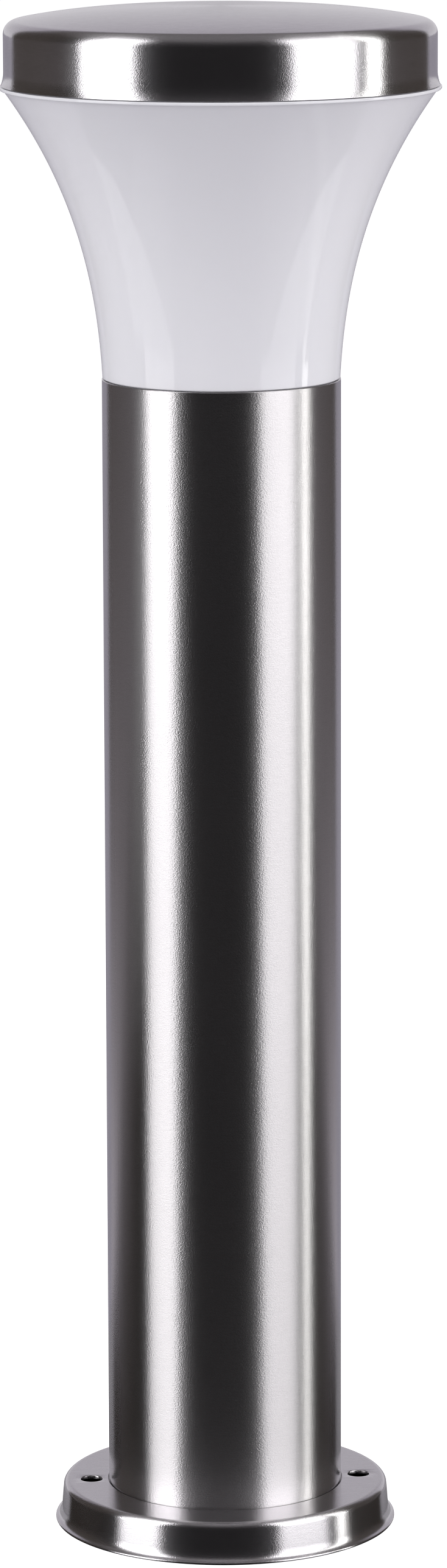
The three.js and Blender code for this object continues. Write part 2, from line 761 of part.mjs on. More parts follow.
// Live and neutral leads come down through the nipple, the earth lead from its lug
function leads() {
  const nippleFoot = carrierUnderside - nippleDrop;
  const loop = nippleFoot - leadLoopDrop;
  const plugLevel = blockTop - leadPlugIn;
  const place = (x, y, z) => new THREE.Vector3(x, y, z);
  const feed = (from, pole) => {
    const y = pole * blockPoleSpacing;
    const hole = Math.sign(from) * wireHoleOffset;
    return [
      place(hole, 0, insertLevel + insertThickness / 2),
      place(hole, 0, insertLevel - seatGap),
      place(from, 0, holderFoot + holderFloor - seatGap),
      place(from, 0, carrierUnderside),
      place(from, 0, nippleFoot),
      place(from + leadLoopDrop / 3, y / 4, loop + leadLoopDrop / 3),
      place(blockInner, y, blockTop + leadLoopDrop / 2),
      place(blockOffset, y, blockTop + leadRadius),
      place(blockOffset, y, plugLevel),
    ];
  };
  const earthRun = [
    place(fixingPitchRadius, lugTail, lugFoot - lugBarrelLength / 2),
    place(fixingPitchRadius, lugTail, lugFoot - lugBarrelLength - leadRadius),
    place(blockOffset, 0, blockTop + leadRadius),
    place(blockOffset, 0, plugLevel),
  ];
  return [
    lead('live_lead', feed(-leadSpread, -1), 'brownSleeve'),
    lead('neutral_lead', feed(leadSpread, 1), 'blueSleeve'),
    lead('earth_lead', earthRun, 'greenSleeve'),
  ];
}

function lead(name, places, finish) {
  const corners = Array.from({ length: leadSides }, (_, i) => {
    const angle = (2 * Math.PI * i) / leadSides;
    return new THREE.Vector2(leadRadius * Math.cos(angle), leadRadius * Math.sin(angle));
  });
  const geometry = new THREE.ExtrudeGeometry(new THREE.Shape(corners), {
    steps: leadSteps, bevelEnabled: false, extrudePath: new THREE.CatmullRomCurve3(places),
  });
  return piece(name, solidFrom(geometry), finish);
}

// Head: diffuser, O-ring, seal and cap

// Share of the way from the neck to the flange, at a share of the height
function flareShare(height) {
  const rest = 1 - flareLinearShare - flareSquareShare;
  return flareLinearShare * height + flareSquareShare * height ** 2 + rest * height ** flareRollPower;
}

function flareOutline() {
  const shoulderRadius = tubeRadius - shoulderInset;
  return Array.from({ length: flareSteps + 1 }, (_, i) => {
    const height = i / flareSteps;
    return point(
      shoulderRadius + (flareRadius - shoulderRadius) * flareShare(height),
      shoulderLevel + (flareTop - shoulderLevel) * height,
    );
  });
}

// The same outline moved inwards by the wall, square to the surface
function insideOf(outline, wall) {
  return outline.map((p, i) => {
    const before = outline[Math.max(i - 1, 0)];
    const after = outline[Math.min(i + 1, outline.length - 1)];
    const along = point(after.x - before.x, after.y - before.y).normalize();
    return point(p.x - along.y * wall, p.y + along.x * wall);
  });
}

// Inner face of the flare, from the shoulder up to where it meets the upstand's bore
function insideFlare(flare, boreRadius) {
  const offset = insideOf(flare, diffuserWall);
  const reach = offset.findIndex((p) => p.x >= boreRadius);
  const count = reach < 0 ? offset.length : reach;
  const below = offset[count - 1];
  const above = offset[Math.min(count, offset.length - 1)];
  const share = above.x > below.x ? (boreRadius - below.x) / (above.x - below.x) : 0;
  const kept = offset.slice(0, count).filter((_, i) => i % 2 === 0 || i === count - 1);
  return [...kept, point(boreRadius, below.y + (above.y - below.y) * share)];
}

function neckSizes() {
  const outer = tubeBoreRadius - neckGap;
  const foot = shoulderLevel - neckDepth;
  const ringCentre = tubeBoreRadius - seatGap - oRingRadius;
  const ringLevel = shoulderLevel - neckDepth * oRingDepthShare;
  return { outer, foot, ringCentre, ringLevel };
}

function diffuser() {
  const flare = flareOutline();
  const upstandInner = upstandRadius - upstandWall;
  const upstandTop = flangeTop + upstandHeight;
  const inside = insideFlare(flare, upstandInner);
  const flangeRadius = flareRadius + flangeReach;
  const { outer, foot, ringCentre, ringLevel } = neckSizes();
  const grooveFloor = ringCentre - oRingRadius - seatGap;
  const grooveHalf = oRingRadius + seatGap;
  const outline = [
    point(neckBoreRadius, foot),
    point(outer - neckChamfer, foot),
    point(outer, foot + neckChamfer),
    point(outer, ringLevel - grooveHalf),
    point(grooveFloor, ringLevel - grooveHalf),
    point(grooveFloor, ringLevel + grooveHalf),
    point(outer, ringLevel + grooveHalf),
    point(outer, shoulderLevel),
    ...flare,
    ...arc(flangeRadius - flangeEdgeRadius, flareTop + flangeEdgeRadius, flangeEdgeRadius, -90, 0, edgeSteps),
    point(flangeRadius, flangeTop),
    point(upstandRadius, flangeTop),
    point(upstandRadius, upstandTop),
    point(upstandInner, upstandTop),
    ...inside.reverse(),
    point(neckBoreRadius, shoulderLevel - neckTaperHeight),
  ];
  return piece('diffuser', turned(outline, largeSides), 'opal');
}

function neckORing() {
  const { ringCentre, ringLevel } = neckSizes();
  const outline = arc(ringCentre, ringLevel, oRingRadius, 0, 360, oRingSides).slice(0, -1);
  return piece('neck_o_ring', turned(outline, largeSides), 'rubber');
}

// Outline of one face of the cap, from its lower edge up and over to the axis
function capOutline(inset, steps) {
  const wall = capWallRadius - inset;
  const corner = Math.max(capCornerRadius - inset, capSheet);
  const domeRadius = capWallRadius - capCornerRadius;
  const domeLevel = (radius) => capApex - inset - capDomeDrop * (radius / domeRadius) ** capDomePower;
  const slope = Math.atan((capDomePower * capDomeDrop) / domeRadius);
  const cornerLevel = domeLevel(domeRadius) - corner * Math.cos(slope);
  const reach = 90 - THREE.MathUtils.radToDeg(slope);
  const cornerCentre = wall - corner;
  const flare = Array.from({ length: capFlareSteps }, (_, i) => {
    const share = i / capFlareSteps;
    return point(wall + capFlare * (1 - share) ** 2, capFoot + capFlareHeight * share);
  });
  const joint = cornerCentre + corner * Math.sin(slope);
  const dome = Array.from({ length: steps }, (_, i) => {
    const share = 1 - (i + 1) / steps;
    return point(joint * share, domeLevel(joint * share));
  });
  const shift = domeLevel(domeRadius) - domeLevel(joint);
  const shoulder = arc(cornerCentre, cornerLevel - shift, corner, 0, reach, steps - 1);
  return [...flare, point(wall, capFoot + capFlareHeight), ...shoulder, ...dome];
}

function cap() {
  const outline = [...capOutline(0, capSteps), ...capOutline(capSheet, capSteps - 2).reverse()];
  return piece('cap', turned(outline, largeSides), 'polishedSteel');
}

function capSeal() {
  const top = flangeTop + upstandHeight + seatGap;
  const solid = ring(upstandRadius - upstandWall, upstandRadius, top, top + sealHeight, largeSides);
  return piece('cap_seal', solid, 'silicone');
}

function groupOf(...meshes) {
  const group = new THREE.Group();
  group.add(...meshes.flat());
  return group;
}

const foot = groupOf(basePlate(), footDisc(), cableGrommet(), cordGrip());
const column = groupOf(columnTube(), tieRodSet('front'), tieRodSet('rear'));
const carrier = groupOf(lampCarrier(), Array.from({ length: clipCount }, (_, i) => leafClip(i)).flat());
const lampFitting = groupOf(lampholder(), terminalBlock(), earthConnection(), leads());
const lamp = groupOf(bulb());
const head = groupOf(cap(), capSeal(), diffuser(), neckORing());

const bollardLight = groupOf(foot, column, carrier, lampFitting, lamp, head);
export default bollardLight;
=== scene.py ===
import json
import math

import bmesh
import bpy
from mathutils import Matrix, Vector


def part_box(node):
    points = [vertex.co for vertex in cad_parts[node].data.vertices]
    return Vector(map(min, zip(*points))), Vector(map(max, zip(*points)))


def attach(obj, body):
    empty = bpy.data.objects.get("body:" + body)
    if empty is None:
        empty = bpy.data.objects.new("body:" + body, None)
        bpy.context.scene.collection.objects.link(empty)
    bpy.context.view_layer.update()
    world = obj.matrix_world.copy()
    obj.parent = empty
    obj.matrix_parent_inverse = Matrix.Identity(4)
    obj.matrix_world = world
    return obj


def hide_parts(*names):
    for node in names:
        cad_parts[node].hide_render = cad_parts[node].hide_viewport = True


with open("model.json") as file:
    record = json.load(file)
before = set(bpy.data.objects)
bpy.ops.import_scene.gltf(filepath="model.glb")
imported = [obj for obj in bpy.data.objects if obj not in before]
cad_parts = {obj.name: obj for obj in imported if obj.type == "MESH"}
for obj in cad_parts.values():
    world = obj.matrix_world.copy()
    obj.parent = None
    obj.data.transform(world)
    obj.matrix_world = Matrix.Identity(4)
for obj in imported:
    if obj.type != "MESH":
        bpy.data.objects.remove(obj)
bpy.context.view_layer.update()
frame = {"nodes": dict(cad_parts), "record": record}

# Looks of the bollard light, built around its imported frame, in metres with +Z up
mm = 0.001
tiny = 0.002 * mm
slack = 20 * tiny  # a vertex is found this close to its place
slotOf = {part["node"]: part["material_slot"] for part in frame["record"]["subparts"]}
bodyOf = {node: body for body, nodes in frame["record"]["behaviour"]["bodies"].items() for node in nodes}
largeSides, mediumSides, smallSides, screwSides = 128, 72, 48, 32
print("frame loaded,", len(slotOf), "nodes")


# Modelling steps shared by the pieces

def clearSelection():
    if bpy.context.mode != "OBJECT":
        bpy.ops.object.mode_set(mode="OBJECT")
    bpy.ops.object.select_all(action="DESELECT")


def pick(piece):
    clearSelection()
    piece.select_set(True)
    bpy.context.view_layer.objects.active = piece


def editMesh(piece):
    pick(piece)
    bpy.ops.object.mode_set(mode="EDIT")
    bpy.ops.mesh.select_all(action="DESELECT")


def selectEdges(piece, wanted):  # edges whose two ends both pass the test
    bpy.ops.mesh.select_mode(type="EDGE")
    mesh = bmesh.from_edit_mesh(piece.data)
    for edge in mesh.edges:
        edge.select_set(all(wanted(vert.co) for vert in edge.verts))
    bmesh.update_edit_mesh(piece.data)


def selectFaces(piece, wanted):
    bpy.ops.mesh.select_mode(type="FACE")
    mesh = bmesh.from_edit_mesh(piece.data)
    for face in mesh.faces:
        face.select_set(wanted(face))
    bmesh.update_edit_mesh(piece.data)


def finishFaces(piece, material, wanted):  # a second finish on some faces of a dressed piece
    piece.data.materials.append(material)
    editMesh(piece)
    selectFaces(piece, wanted)
    piece.active_material_index = len(piece.data.materials) - 1
    bpy.ops.object.material_slot_assign()
    bpy.ops.object.mode_set(mode="OBJECT")


def applyModifier(piece, kind, **settings):
    modifier = piece.modifiers.new(kind.title(), kind)
    for key, value in settings.items():
        setattr(modifier, key, value)
    pick(piece)
    bpy.ops.object.modifier_apply(modifier=modifier.name)


def finishShape(piece, smoothAngle=30):
    pick(piece)
    bpy.ops.object.transform_apply(location=True, rotation=True, scale=True)
    bpy.ops.object.shade_smooth_by_angle(angle=math.radians(smoothAngle))
    return piece


def arc(centreRadius, centreLevel, radius, fromAngle, toAngle, steps):
    angles = [math.radians(fromAngle + (toAngle - fromAngle) * i / steps) for i in range(steps + 1)]
    return [(centreRadius + radius * math.cos(a), centreLevel + radius * math.sin(a)) for a in angles]


def curvePoints(start, control, end, steps):
    points = []
    for i in range(steps + 1):
        t = i / steps
        points.append(tuple((1 - t) ** 2 * a + 2 * t * (1 - t) * b + t * t * c
                            for a, b, c in zip(start, control, end)))
    return points


def onRing(radius, level, x=0.0, y=0.0):
    def test(place):
        away = math.hypot(place.x - x, place.y - y)
        return abs(away - radius) < slack and abs(place.z - level) < slack
    return test


def growRing(ring, nextRing, x, y):
    (radius, level), (nextRadius, nextLevel) = ring, nextRing
    bpy.ops.mesh.extrude_edges_move(TRANSFORM_OT_translate={"value": (0, 0, nextLevel - level)})
    if nextRadius < tiny:
        bpy.ops.mesh.merge(type="CENTER")
    elif abs(nextRadius - radius) > tiny / 100:
        grow = nextRadius / radius
        bpy.ops.transform.resize(value=(grow, grow, 1), center_override=(x, y, nextLevel))


def turned(name, outline, sides=96, x=0.0, y=0.0, closed=True):
    # outline holds (radius, level); a circle grows ring by ring,
    # and both ends close on the axis or on each other
    rings = [point for point in outline if point[0] > tiny]
    clearSelection()
    bpy.ops.mesh.primitive_circle_add(vertices=sides, radius=rings[0][0], location=(x, y, rings[0][1]))
    piece = bpy.context.object
    piece.name = name
    bpy.ops.object.transform_apply(location=True)
    bpy.ops.object.mode_set(mode="EDIT")
    bpy.ops.mesh.select_all(action="SELECT")
    if outline[0][0] <= tiny:
        growRing(rings[0], outline[0], x, y)
        bpy.ops.mesh.select_all(action="DESELECT")
        selectEdges(piece, onRing(*rings[0], x, y))
    for ring, nextRing in zip(rings, rings[1:]):
        growRing(ring, nextRing, x, y)
    if outline[-1][0] <= tiny:
        growRing(rings[-1], outline[-1], x, y)
    elif closed and outline[0][0] > tiny:
        growRing(rings[-1], rings[0], x, y)
    bpy.ops.mesh.select_all(action="SELECT")
    bpy.ops.mesh.remove_doubles(threshold=tiny / 4)
    bpy.ops.mesh.normals_make_consistent(inside=False)
    bpy.ops.object.mode_set(mode="OBJECT")
    return finishShape(piece)


def discard(*pieces):
    for piece in pieces:
        pick(piece)
        bpy.ops.object.delete()


def combine(piece, other, operation):
    applyModifier(piece, "BOOLEAN", operation=operation, solver="EXACT", object=other)
    discard(other)


def drill(piece, radius, low, high, x, y, sides=64):
    clearSelection()
    bpy.ops.mesh.primitive_cylinder_add(
        vertices=sides, radius=radius, depth=high - low, location=(x, y, (low + high) / 2))
    combine(piece, bpy.context.object, "DIFFERENCE")


def breakEdge(piece, wanted, width, segments):
    editMesh(piece)
    selectEdges(piece, wanted)
    bpy.ops.mesh.bevel(offset=width, segments=segments, affect="EDGES")
    bpy.ops.object.mode_set(mode="OBJECT")


def putAt(piece, place, turn=(0, 0, 0)):  # turned first, then moved
    pick(piece)
    piece.rotation_euler = turn
    piece.location = place
    bpy.ops.object.transform_apply(location=True, rotation=True, scale=True)
    return piece


def copyOf(piece, name, place):  # with its own mesh
    pick(piece)
    bpy.ops.object.duplicate(linked=False)
    copy = bpy.context.object
    copy.name = name
    return putAt(copy, place)


def placeOf(node):  # lowest and highest level, middle in x and y, half width in x
    low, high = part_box(node)
    return low.z, high.z, (low.x + high.x) / 2, (low.y + high.y) / 2, (high.x - low.x) / 2


def widthOf(node):
    low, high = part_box(node)
    return high.y - low.y


def camelName(node):  # terminal_block gives terminalBlock
    first, *others = node.split("_")
    return first + "".join(word.title() for word in others)


def softRing(inner, outer, low, high, soft):  # outline of a ring with its corners taken off
    return [(inner + soft, low), (outer - soft, low), (outer, low + soft), (outer, high - soft),
            (outer - soft, high), (inner + soft, high), (inner, high - soft), (inner, low + soft)]


def softDisc(outer, low, high, soft, steps=3):
    return [(0, low), *arc(outer - soft, low + soft, soft, -90, 0, steps),
            *arc(outer - soft, high - soft, soft, 0, 90, steps), (0, high)]


def traceLine(name, points):  # a line of edges, drawn from one point to the next
    clearSelection()
    bpy.ops.mesh.primitive_plane_add(size=mm)
    line = bpy.context.object
    line.name = name
    bpy.ops.object.mode_set(mode="EDIT")
    bpy.ops.mesh.select_mode(type="VERT")
    bpy.ops.mesh.select_all(action="SELECT")
    bpy.ops.mesh.merge(type="CENTER")
    bpy.ops.mesh.select_all(action="SELECT")
    bpy.ops.transform.translate(value=points[0])
    for start, end in zip(points, points[1:]):
        bpy.ops.mesh.extrude_vertices_move(
            TRANSFORM_OT_translate={"value": tuple(b - a for a, b in zip(start, end))})
    bpy.ops.object.mode_set(mode="OBJECT")
    return line


def threadedSkin(name, crest, root, pitch, low, high, steps, bends):
    # one pitch of outline, wound up the Z axis
    points = []
    for i in range(bends + 1):
        share = (1 - math.cos(2 * math.pi * i / bends)) / 2
        points.append((root + (crest - root) * share, 0, low - pitch + pitch * i / bends))
    skin = traceLine(name, points)
    applyModifier(skin, "SCREW", axis="Z", angle=2 * math.pi, screw_offset=pitch, steps=steps,
                  render_steps=steps, iterations=math.ceil((high - low) / pitch) + 2)
    editMesh(skin)
    bpy.ops.mesh.select_all(action="SELECT")
    bpy.ops.mesh.remove_doubles(threshold=tiny)
    return skin


def trimEnds(low, high, fill):  # in edit mode
    bpy.ops.mesh.select_all(action="SELECT")
    bpy.ops.mesh.bisect(plane_co=(0, 0, low), plane_no=(0, 0, 1), use_fill=fill, clear_inner=True)
    bpy.ops.mesh.select_all(action="SELECT")
    bpy.ops.mesh.bisect(plane_co=(0, 0, high), plane_no=(0, 0, 1), use_fill=fill, clear_outer=True)
    bpy.ops.mesh.select_all(action="SELECT")
    bpy.ops.mesh.normals_make_consistent(inside=False)
    bpy.ops.object.mode_set(mode="OBJECT")


def threadedBar(name, crest, root, pitch, low, high, steps=16, bends=2):
    bar = threadedSkin(name, crest, root, pitch, low, high, steps, bends)
    trimEnds(low, high, True)
    return finishShape(bar, smoothAngle=45)


def softCopy(node, name, width, segments=2):  # the CAD solid with its edges rounded
    clearSelection()
    source = frame["nodes"][node]
    copy = source.copy()
    copy.data = source.data.copy()
    copy.name = name
    for key in list(copy.keys()):
        del copy[key]
    copy.parent = None
    bpy.context.scene.collection.objects.link(copy)
    editMesh(copy)
    bpy.ops.mesh.select_all(action="SELECT")
    bpy.ops.mesh.remove_doubles(threshold=tiny)
    bpy.ops.mesh.dissolve_limited(angle_limit=math.radians(2))
    bpy.ops.object.mode_set(mode="OBJECT")
    applyModifier(copy, "BEVEL", width=width, segments=segments, limit_method="ANGLE",
                  angle_limit=math.radians(40), use_clamp_overlap=True)
    return finishShape(copy, smoothAngle=35)


def dress(piece, *nodes):  # the piece stands for CAD nodes and takes their body and finish
    piece.data.materials.clear()
    piece.data.materials.append(finishes[slotOf[nodes[0]]])
    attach(piece, bodyOf[nodes[0]])
    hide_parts(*nodes)


# Finishes

noiseRoughness = 0.55


def startFinish(name, colour, roughness, metallic=0.0, **settings):
    material = bpy.data.materials.new(name)
    material.use_nodes = True
    shader = material.node_tree.nodes["Principled BSDF"]
    shader.inputs["Base Color"].default_value = (*colour, 1)
    shader.inputs["Roughness"].default_value = roughness
    shader.inputs["Metallic"].default_value = metallic
    for socket, value in settings.items():
        shader.inputs[socket.replace("_", " ")].default_value = value
    return material, shader


def addNode(material, kind, **settings):
    node = material.node_tree.nodes.new(kind)
    for key, value in settings.items():
        setattr(node, key, value)
    return node


def link(material, fromSocket, toSocket):
    material.node_tree.links.new(fromSocket, toSocket)


def addNoise(material, stretch, detail):  # stretch is in lumps to the metre
    place = addNode(material, "ShaderNodeTexCoord")
    mapping = addNode(material, "ShaderNodeMapping")
    mapping.inputs["Scale"].default_value = stretch
    noise = addNode(material, "ShaderNodeTexNoise")
    noise.inputs["Scale"].default_value = 1.0
    noise.inputs["Detail"].default_value = detail
    noise.inputs["Roughness"].default_value = noiseRoughness
    link(material, place.outputs["Object"], mapping.inputs["Vector"])
    link(material, mapping.outputs["Vector"], noise.inputs["Vector"])
    return noise.outputs["Fac"]


def feed(holder, value, socket):  # a colour, a number or another node's output
    if isinstance(value, tuple):
        socket.default_value = (*value, 1)
    elif isinstance(value, (int, float)):
        socket.default_value = value
    else:
        link(holder, value, socket)


def addMath(holder, operation, *values):
    node = addNode(holder, "ShaderNodeMath", operation=operation)
    for socket, value in zip(node.inputs, values):
        feed(holder, value, socket)
    return node.outputs["Value"]


def times(holder, first, second):
    return addMath(holder, "MULTIPLY", first, second)


def addMix(holder, factor, first, second):
    mix = addNode(holder, "ShaderNodeMix", data_type="RGBA")
    for name, value in (("Factor", factor), ("A", first), ("B", second)):
        feed(holder, value, mix.inputs[name])
    return mix.outputs["Result"]


def addRange(material, value, low, high, fromLow=0.3, fromHigh=0.7):
    span = addNode(material, "ShaderNodeMapRange")
    for socket, number in (("From Min", fromLow), ("From Max", fromHigh), ("To Min", low), ("To Max", high)):
        span.inputs[socket].default_value = number
    link(material, value, span.inputs["Value"])
    return span.outputs["Result"]


def addTint(material, shader, value, low, high):  # base colour between two colours
    link(material, addMix(material, value, low, high), shader.inputs["Base Color"])


def addBump(material, shader, height, distance, below=None):
    bump = addNode(material, "ShaderNodeBump")
    bump.inputs["Distance"].default_value = distance
    bump.inputs["Strength"].default_value = 1.0
    link(material, height, bump.inputs["Height"])
    if below is not None:
        link(material, below, bump.inputs["Normal"])
    link(material, bump.outputs["Normal"], shader.inputs["Normal"])
    return bump.outputs["Normal"]


def scaled(colour, factor):
    return tuple(min(1.0, part * factor) for part in colour)


brushed = {
    "colour": (0.66, 0.645, 0.655),
    "roughness": 0.34,
    "anisotropy": 1.0,
    "streaks": (300, 300, 5200),  # lumps to the metre
    "streakHeight": 0.006 * mm,
    "speckle": (2200, 2200, 3300),
    "speckleHeight": 0.038 * mm,
}

pressed = {
    "colour": (0.70, 0.685, 0.705),
    "roughness": 0.26,
    "anisotropy": 0.95,
    "streaks": (260, 260, 4600),
    "streakHeight": 0.0012 * mm,
    "speckle": (2300, 2300, 3300),
    "speckleHeight": 0.022 * mm,
}

pressedTop = {
    "colour": (0.70, 0.685, 0.705),
    "roughness": 0.42,
    "anisotropy": 0.0,
    "streaks": (200, 2600, 200),
    "streakHeight": 0.001 * mm,
    "speckle": (3000, 3000, 4000),
    "speckleHeight": 0.002 * mm,
}

brushing = {  # what all three share
    "patches": (28, 28, 9),
    "patchShares": (0.95, 1.05),  # of the roughness, in patches
    "tintShares": (0.9, 1.08),  # of the colour, along the streaks and specks
    "glossShares": (1.0, 0.4),  # brushed metal turns mirror-like where it is seen at a low angle
    "glossFacing": (0.5, 0.78),
    "grain": 0.5,  # how much streaks and specks each add to the tint
    "streakSpan": (0.25, 0.75),
}


def brushedFinish(name, metal):
    colour, roughness = metal["colour"], metal["roughness"]
    material, shader = startFinish(name, colour, roughness, metallic=1.0,
                                   Anisotropic=metal["anisotropy"], Anisotropic_Rotation=0.25)
    tangent = addNode(material, "ShaderNodeTangent", direction_type="RADIAL", axis="Z")
    link(material, tangent.outputs["Tangent"], shader.inputs["Tangent"])
    streaks = addNoise(material, metal["streaks"], detail=3)
    speckle = addNoise(material, metal["speckle"], detail=1)
    patches = addNoise(material, brushing["patches"], detail=2)
    lines = addRange(material, streaks, 0, brushing["grain"], *brushing["streakSpan"])
    specks = addRange(material, speckle, 0, brushing["grain"])
    grain = addMath(material, "ADD", lines, specks)
    addTint(material, shader, grain, *[scaled(colour, share) for share in brushing["tintShares"]])
    weight = addNode(material, "ShaderNodeLayerWeight")
    weight.inputs["Blend"].default_value = 0.5
    glance = addRange(material, weight.outputs["Facing"], *brushing["glossShares"], *brushing["glossFacing"])
    dullness = addRange(material, patches, *[roughness * share for share in brushing["patchShares"]])
    link(material, times(material, dullness, glance), shader.inputs["Roughness"])
    fine = addBump(material, shader, speckle, metal["speckleHeight"])
    addBump(material, shader, streaks, metal["streakHeight"], fine)
    return material


opal = {
    "colour": (0.80, 0.80, 0.835),
    "tints": ((0.79, 0.79, 0.825), (0.81, 0.81, 0.84)),
    "roughness": 0.07,
    "index": 1.49,
    "glow": 0.25,  # share of the light that spreads inside
    "glowReach": (0.006, 0.006, 0.0065),
    "flow": (14, 14, 5),
    "ripple": (160, 160, 60),
    "rippleHeight": 0.004 * mm,
}


def opalFinish():
    material, shader = startFinish(
        "opalPlastic", opal["colour"], opal["roughness"], IOR=opal["index"], Subsurface_Weight=opal["glow"],
        Subsurface_Radius=opal["glowReach"], Subsurface_Scale=1.0)
    flow = addNoise(material, opal["flow"], detail=1)
    addTint(material, shader, addRange(material, flow, 0, 1), *opal["tints"])
    addBump(material, shader, addNoise(material, opal["ripple"], detail=2), opal["rippleHeight"])
    return material


plainMetal = {
    "metallic": 1.0,
    "grain": (900, 900, 900),
    "grainDetail": 3,
    "cloud": (120, 120, 120),
    "shades": (0.88, 1.06),
    "dullness": (0.85, 1.2),  # shares of the roughness, by the cloud
    "height": 0.004 * mm,
}

moulded = {
    "metallic": 0.0,
    "grain": (1500, 1500, 1500),
    "grainDetail": 2,
    "cloud": (90, 90, 90),
    "shades": (0.92, 1.06),
    "dullness": (0.9, 1.1),  # shares of the roughness, by the grain
    "height": 0.006 * mm,
}


def plainFinish(name, make, colour, roughness, height=None):
    material, shader = startFinish(name, colour, roughness, make["metallic"])
    grain = addNoise(material, make["grain"], make["grainDetail"])
    cloud = addNoise(material, make["cloud"], detail=2)
    shades = [scaled(colour, share) for share in make["shades"]]
    addTint(material, shader, addRange(material, cloud, 0, 1), *shades)
    spots = cloud if make["metallic"] else grain
    dullness = addRange(material, spots, *[roughness * share for share in make["dullness"]])
    link(material, dullness, shader.inputs["Roughness"])
    addBump(material, shader, grain, height or make["height"])
    return material


finishes = {
    "brushed_tube": brushedFinish("brushedTube", brushed),
    "pressed_steel": brushedFinish("pressedSteel", pressed),
    "zinc_steel": plainFinish("zincSteel", plainMetal, (0.62, 0.64, 0.66), 0.36),
    "opal_diffuser": opalFinish(),
    "bulb_opal": plainFinish("bulbOpal", moulded, (0.88, 0.87, 0.83), 0.12, 0.001 * mm),
    "rubber": plainFinish("blackRubber", moulded, (0.03, 0.03, 0.032), 0.62, 0.02 * mm),
    "silicone": plainFinish("greySilicone", moulded, (0.7, 0.71, 0.7), 0.45),
    "ceramic": plainFinish("glazedCeramic", moulded, (0.82, 0.8, 0.74), 0.22),
    "nylon": plainFinish("naturalNylon", moulded, (0.8, 0.79, 0.75), 0.42),
    "brass": plainFinish("plainBrass", plainMetal, (0.78, 0.6, 0.28), 0.28),
    "nickel": plainFinish("nickelPlate", plainMetal, (0.72, 0.7, 0.66), 0.24),
    "black_insulator": plainFinish("blackGlass", moulded, (0.015, 0.015, 0.017), 0.15, 0.001 * mm),
    "live_sleeve": plainFinish("brownSleeve", moulded, (0.17, 0.07, 0.03), 0.42),
    "neutral_sleeve": plainFinish("blueSleeve", moulded, (0.03, 0.1, 0.38), 0.42),
    "earth_sleeve": plainFinish("greenSleeve", moulded, (0.12, 0.33, 0.05), 0.42),
}
topFinish = brushedFinish("pressedTop", pressedTop)
for node, piece in frame["nodes"].items():
    piece.data.materials.clear()
    piece.data.materials.append(finishes[slotOf[node]])
print("finishes made")


# Column tube

tube = {"sides": 192, "wall": 1.2 * mm, "edge": 0.18 * mm}


def makeTube():
    low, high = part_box("tube")
    outline = softRing(high.x - tube["wall"], high.x, low.z, high.z, tube["edge"])
    dress(turned("columnTube", outline, tube["sides"]), "tube")


# Foot plate, pressed from one sheet, with two punched anchor holes and a flared lip

footPlate = {
    "sides": 192,
    "insideSteps": 6,
    "lipSteps": 8,
    "outsideSteps": 12,
    "sheet": 1.4 * mm,
    "edgeRadius": 2.2 * mm,
    "border": 14.9 * mm,
    "recess": 0.6 * mm,
    "recessGap": 0.3 * mm,
    "draft": 0.5 * mm,
    "lipReach": 2.1 * mm,
    "lipEdge": 0.45 * mm,
    "coveHeight": 4.6 * mm,
    "covePull": 1.3 * mm,  # how low its curve is pulled before it runs out to the lip
    "cableHole": 8 * mm,
    "anchorHole": 3.5 * mm,
    "rodHole": 2.3 * mm,
    "holeEdge": 0.35 * mm,
}


def makeFootPlate():
    top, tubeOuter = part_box("base_plate")[1].z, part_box("tube")[1].x
    sheet, radius = footPlate["sheet"], footPlate["edgeRadius"]
    seat, under = top - footPlate["recess"], top - sheet
    step = tubeOuter + footPlate["recessGap"]
    skirt = tubeOuter + footPlate["border"]
    skirtFoot = skirt + footPlate["draft"]
    edge, coveTop, pull = footPlate["lipEdge"], footPlate["coveHeight"], footPlate["covePull"]
    inside = radius - sheet / 2
    lip = skirtFoot + footPlate["lipReach"]
    hole, soft = footPlate["cableHole"], footPlate["holeEdge"]
    few, some, many = footPlate["insideSteps"], footPlate["lipSteps"], footPlate["outsideSteps"]
    outline = [
        (hole + soft, seat - sheet), (step + sheet / 2, seat - sheet), (step + sheet / 2 + soft, under),
        (skirt - sheet - inside, under),
        *arc(skirt - sheet - inside, under - inside, inside, 90, 0, few)[1:],
        *curvePoints((skirtFoot - sheet, coveTop), (skirtFoot - sheet, pull / 4), (lip - 2 * edge, 0), some),
        *arc(lip - edge, edge, edge, -90, 70, some),
        *curvePoints((lip - edge, 2 * edge), (skirtFoot, pull), (skirtFoot, coveTop), many)[1:],
        *arc(skirt - radius, top - radius, radius, 0, 90, many),
        (skirt - radius - soft, top),
        (step + soft / 2, top), (step, top - soft / 3), (step, seat + soft / 3), (step - soft / 2, seat),
        (hole + soft, seat), (hole, seat - soft), (hole, seat - sheet + soft),
    ]
    piece = turned("footPlate", outline, footPlate["sides"])
    holes = []
    for node in ("tie_rod_front", "tie_rod_rear"):
        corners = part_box(node)
        middle = (corners[0] + corners[1]) / 2
        holes.append((footPlate["rodHole"], middle.x, middle.y, seat - sheet, seat))
    for mount in frame["record"]["mounts"]:
        if mount["name"].startswith("anchor_seat"):
            # drilled on the X axis, because the mount itself lies a little behind it
            holes.append((footPlate["anchorHole"], mount["pos_m"][0], 0.0, under, top))
    for holeRadius, x, y, lower, upper in holes:
        drill(piece, holeRadius, lower - sheet, upper + sheet, x, y)
        for level in (lower, upper):
            breakEdge(piece, onRing(holeRadius, level, x, y), soft, segments=3)
    finishShape(piece)
    dress(piece, "base_plate")
    finishFaces(piece, topFinish,
                lambda face: face.normal.z > 0.9 and face.calc_center_median().z > under)


# Diffuser: opal trumpet with a neck that plugs into the tube, a flange and an upstand under the cap

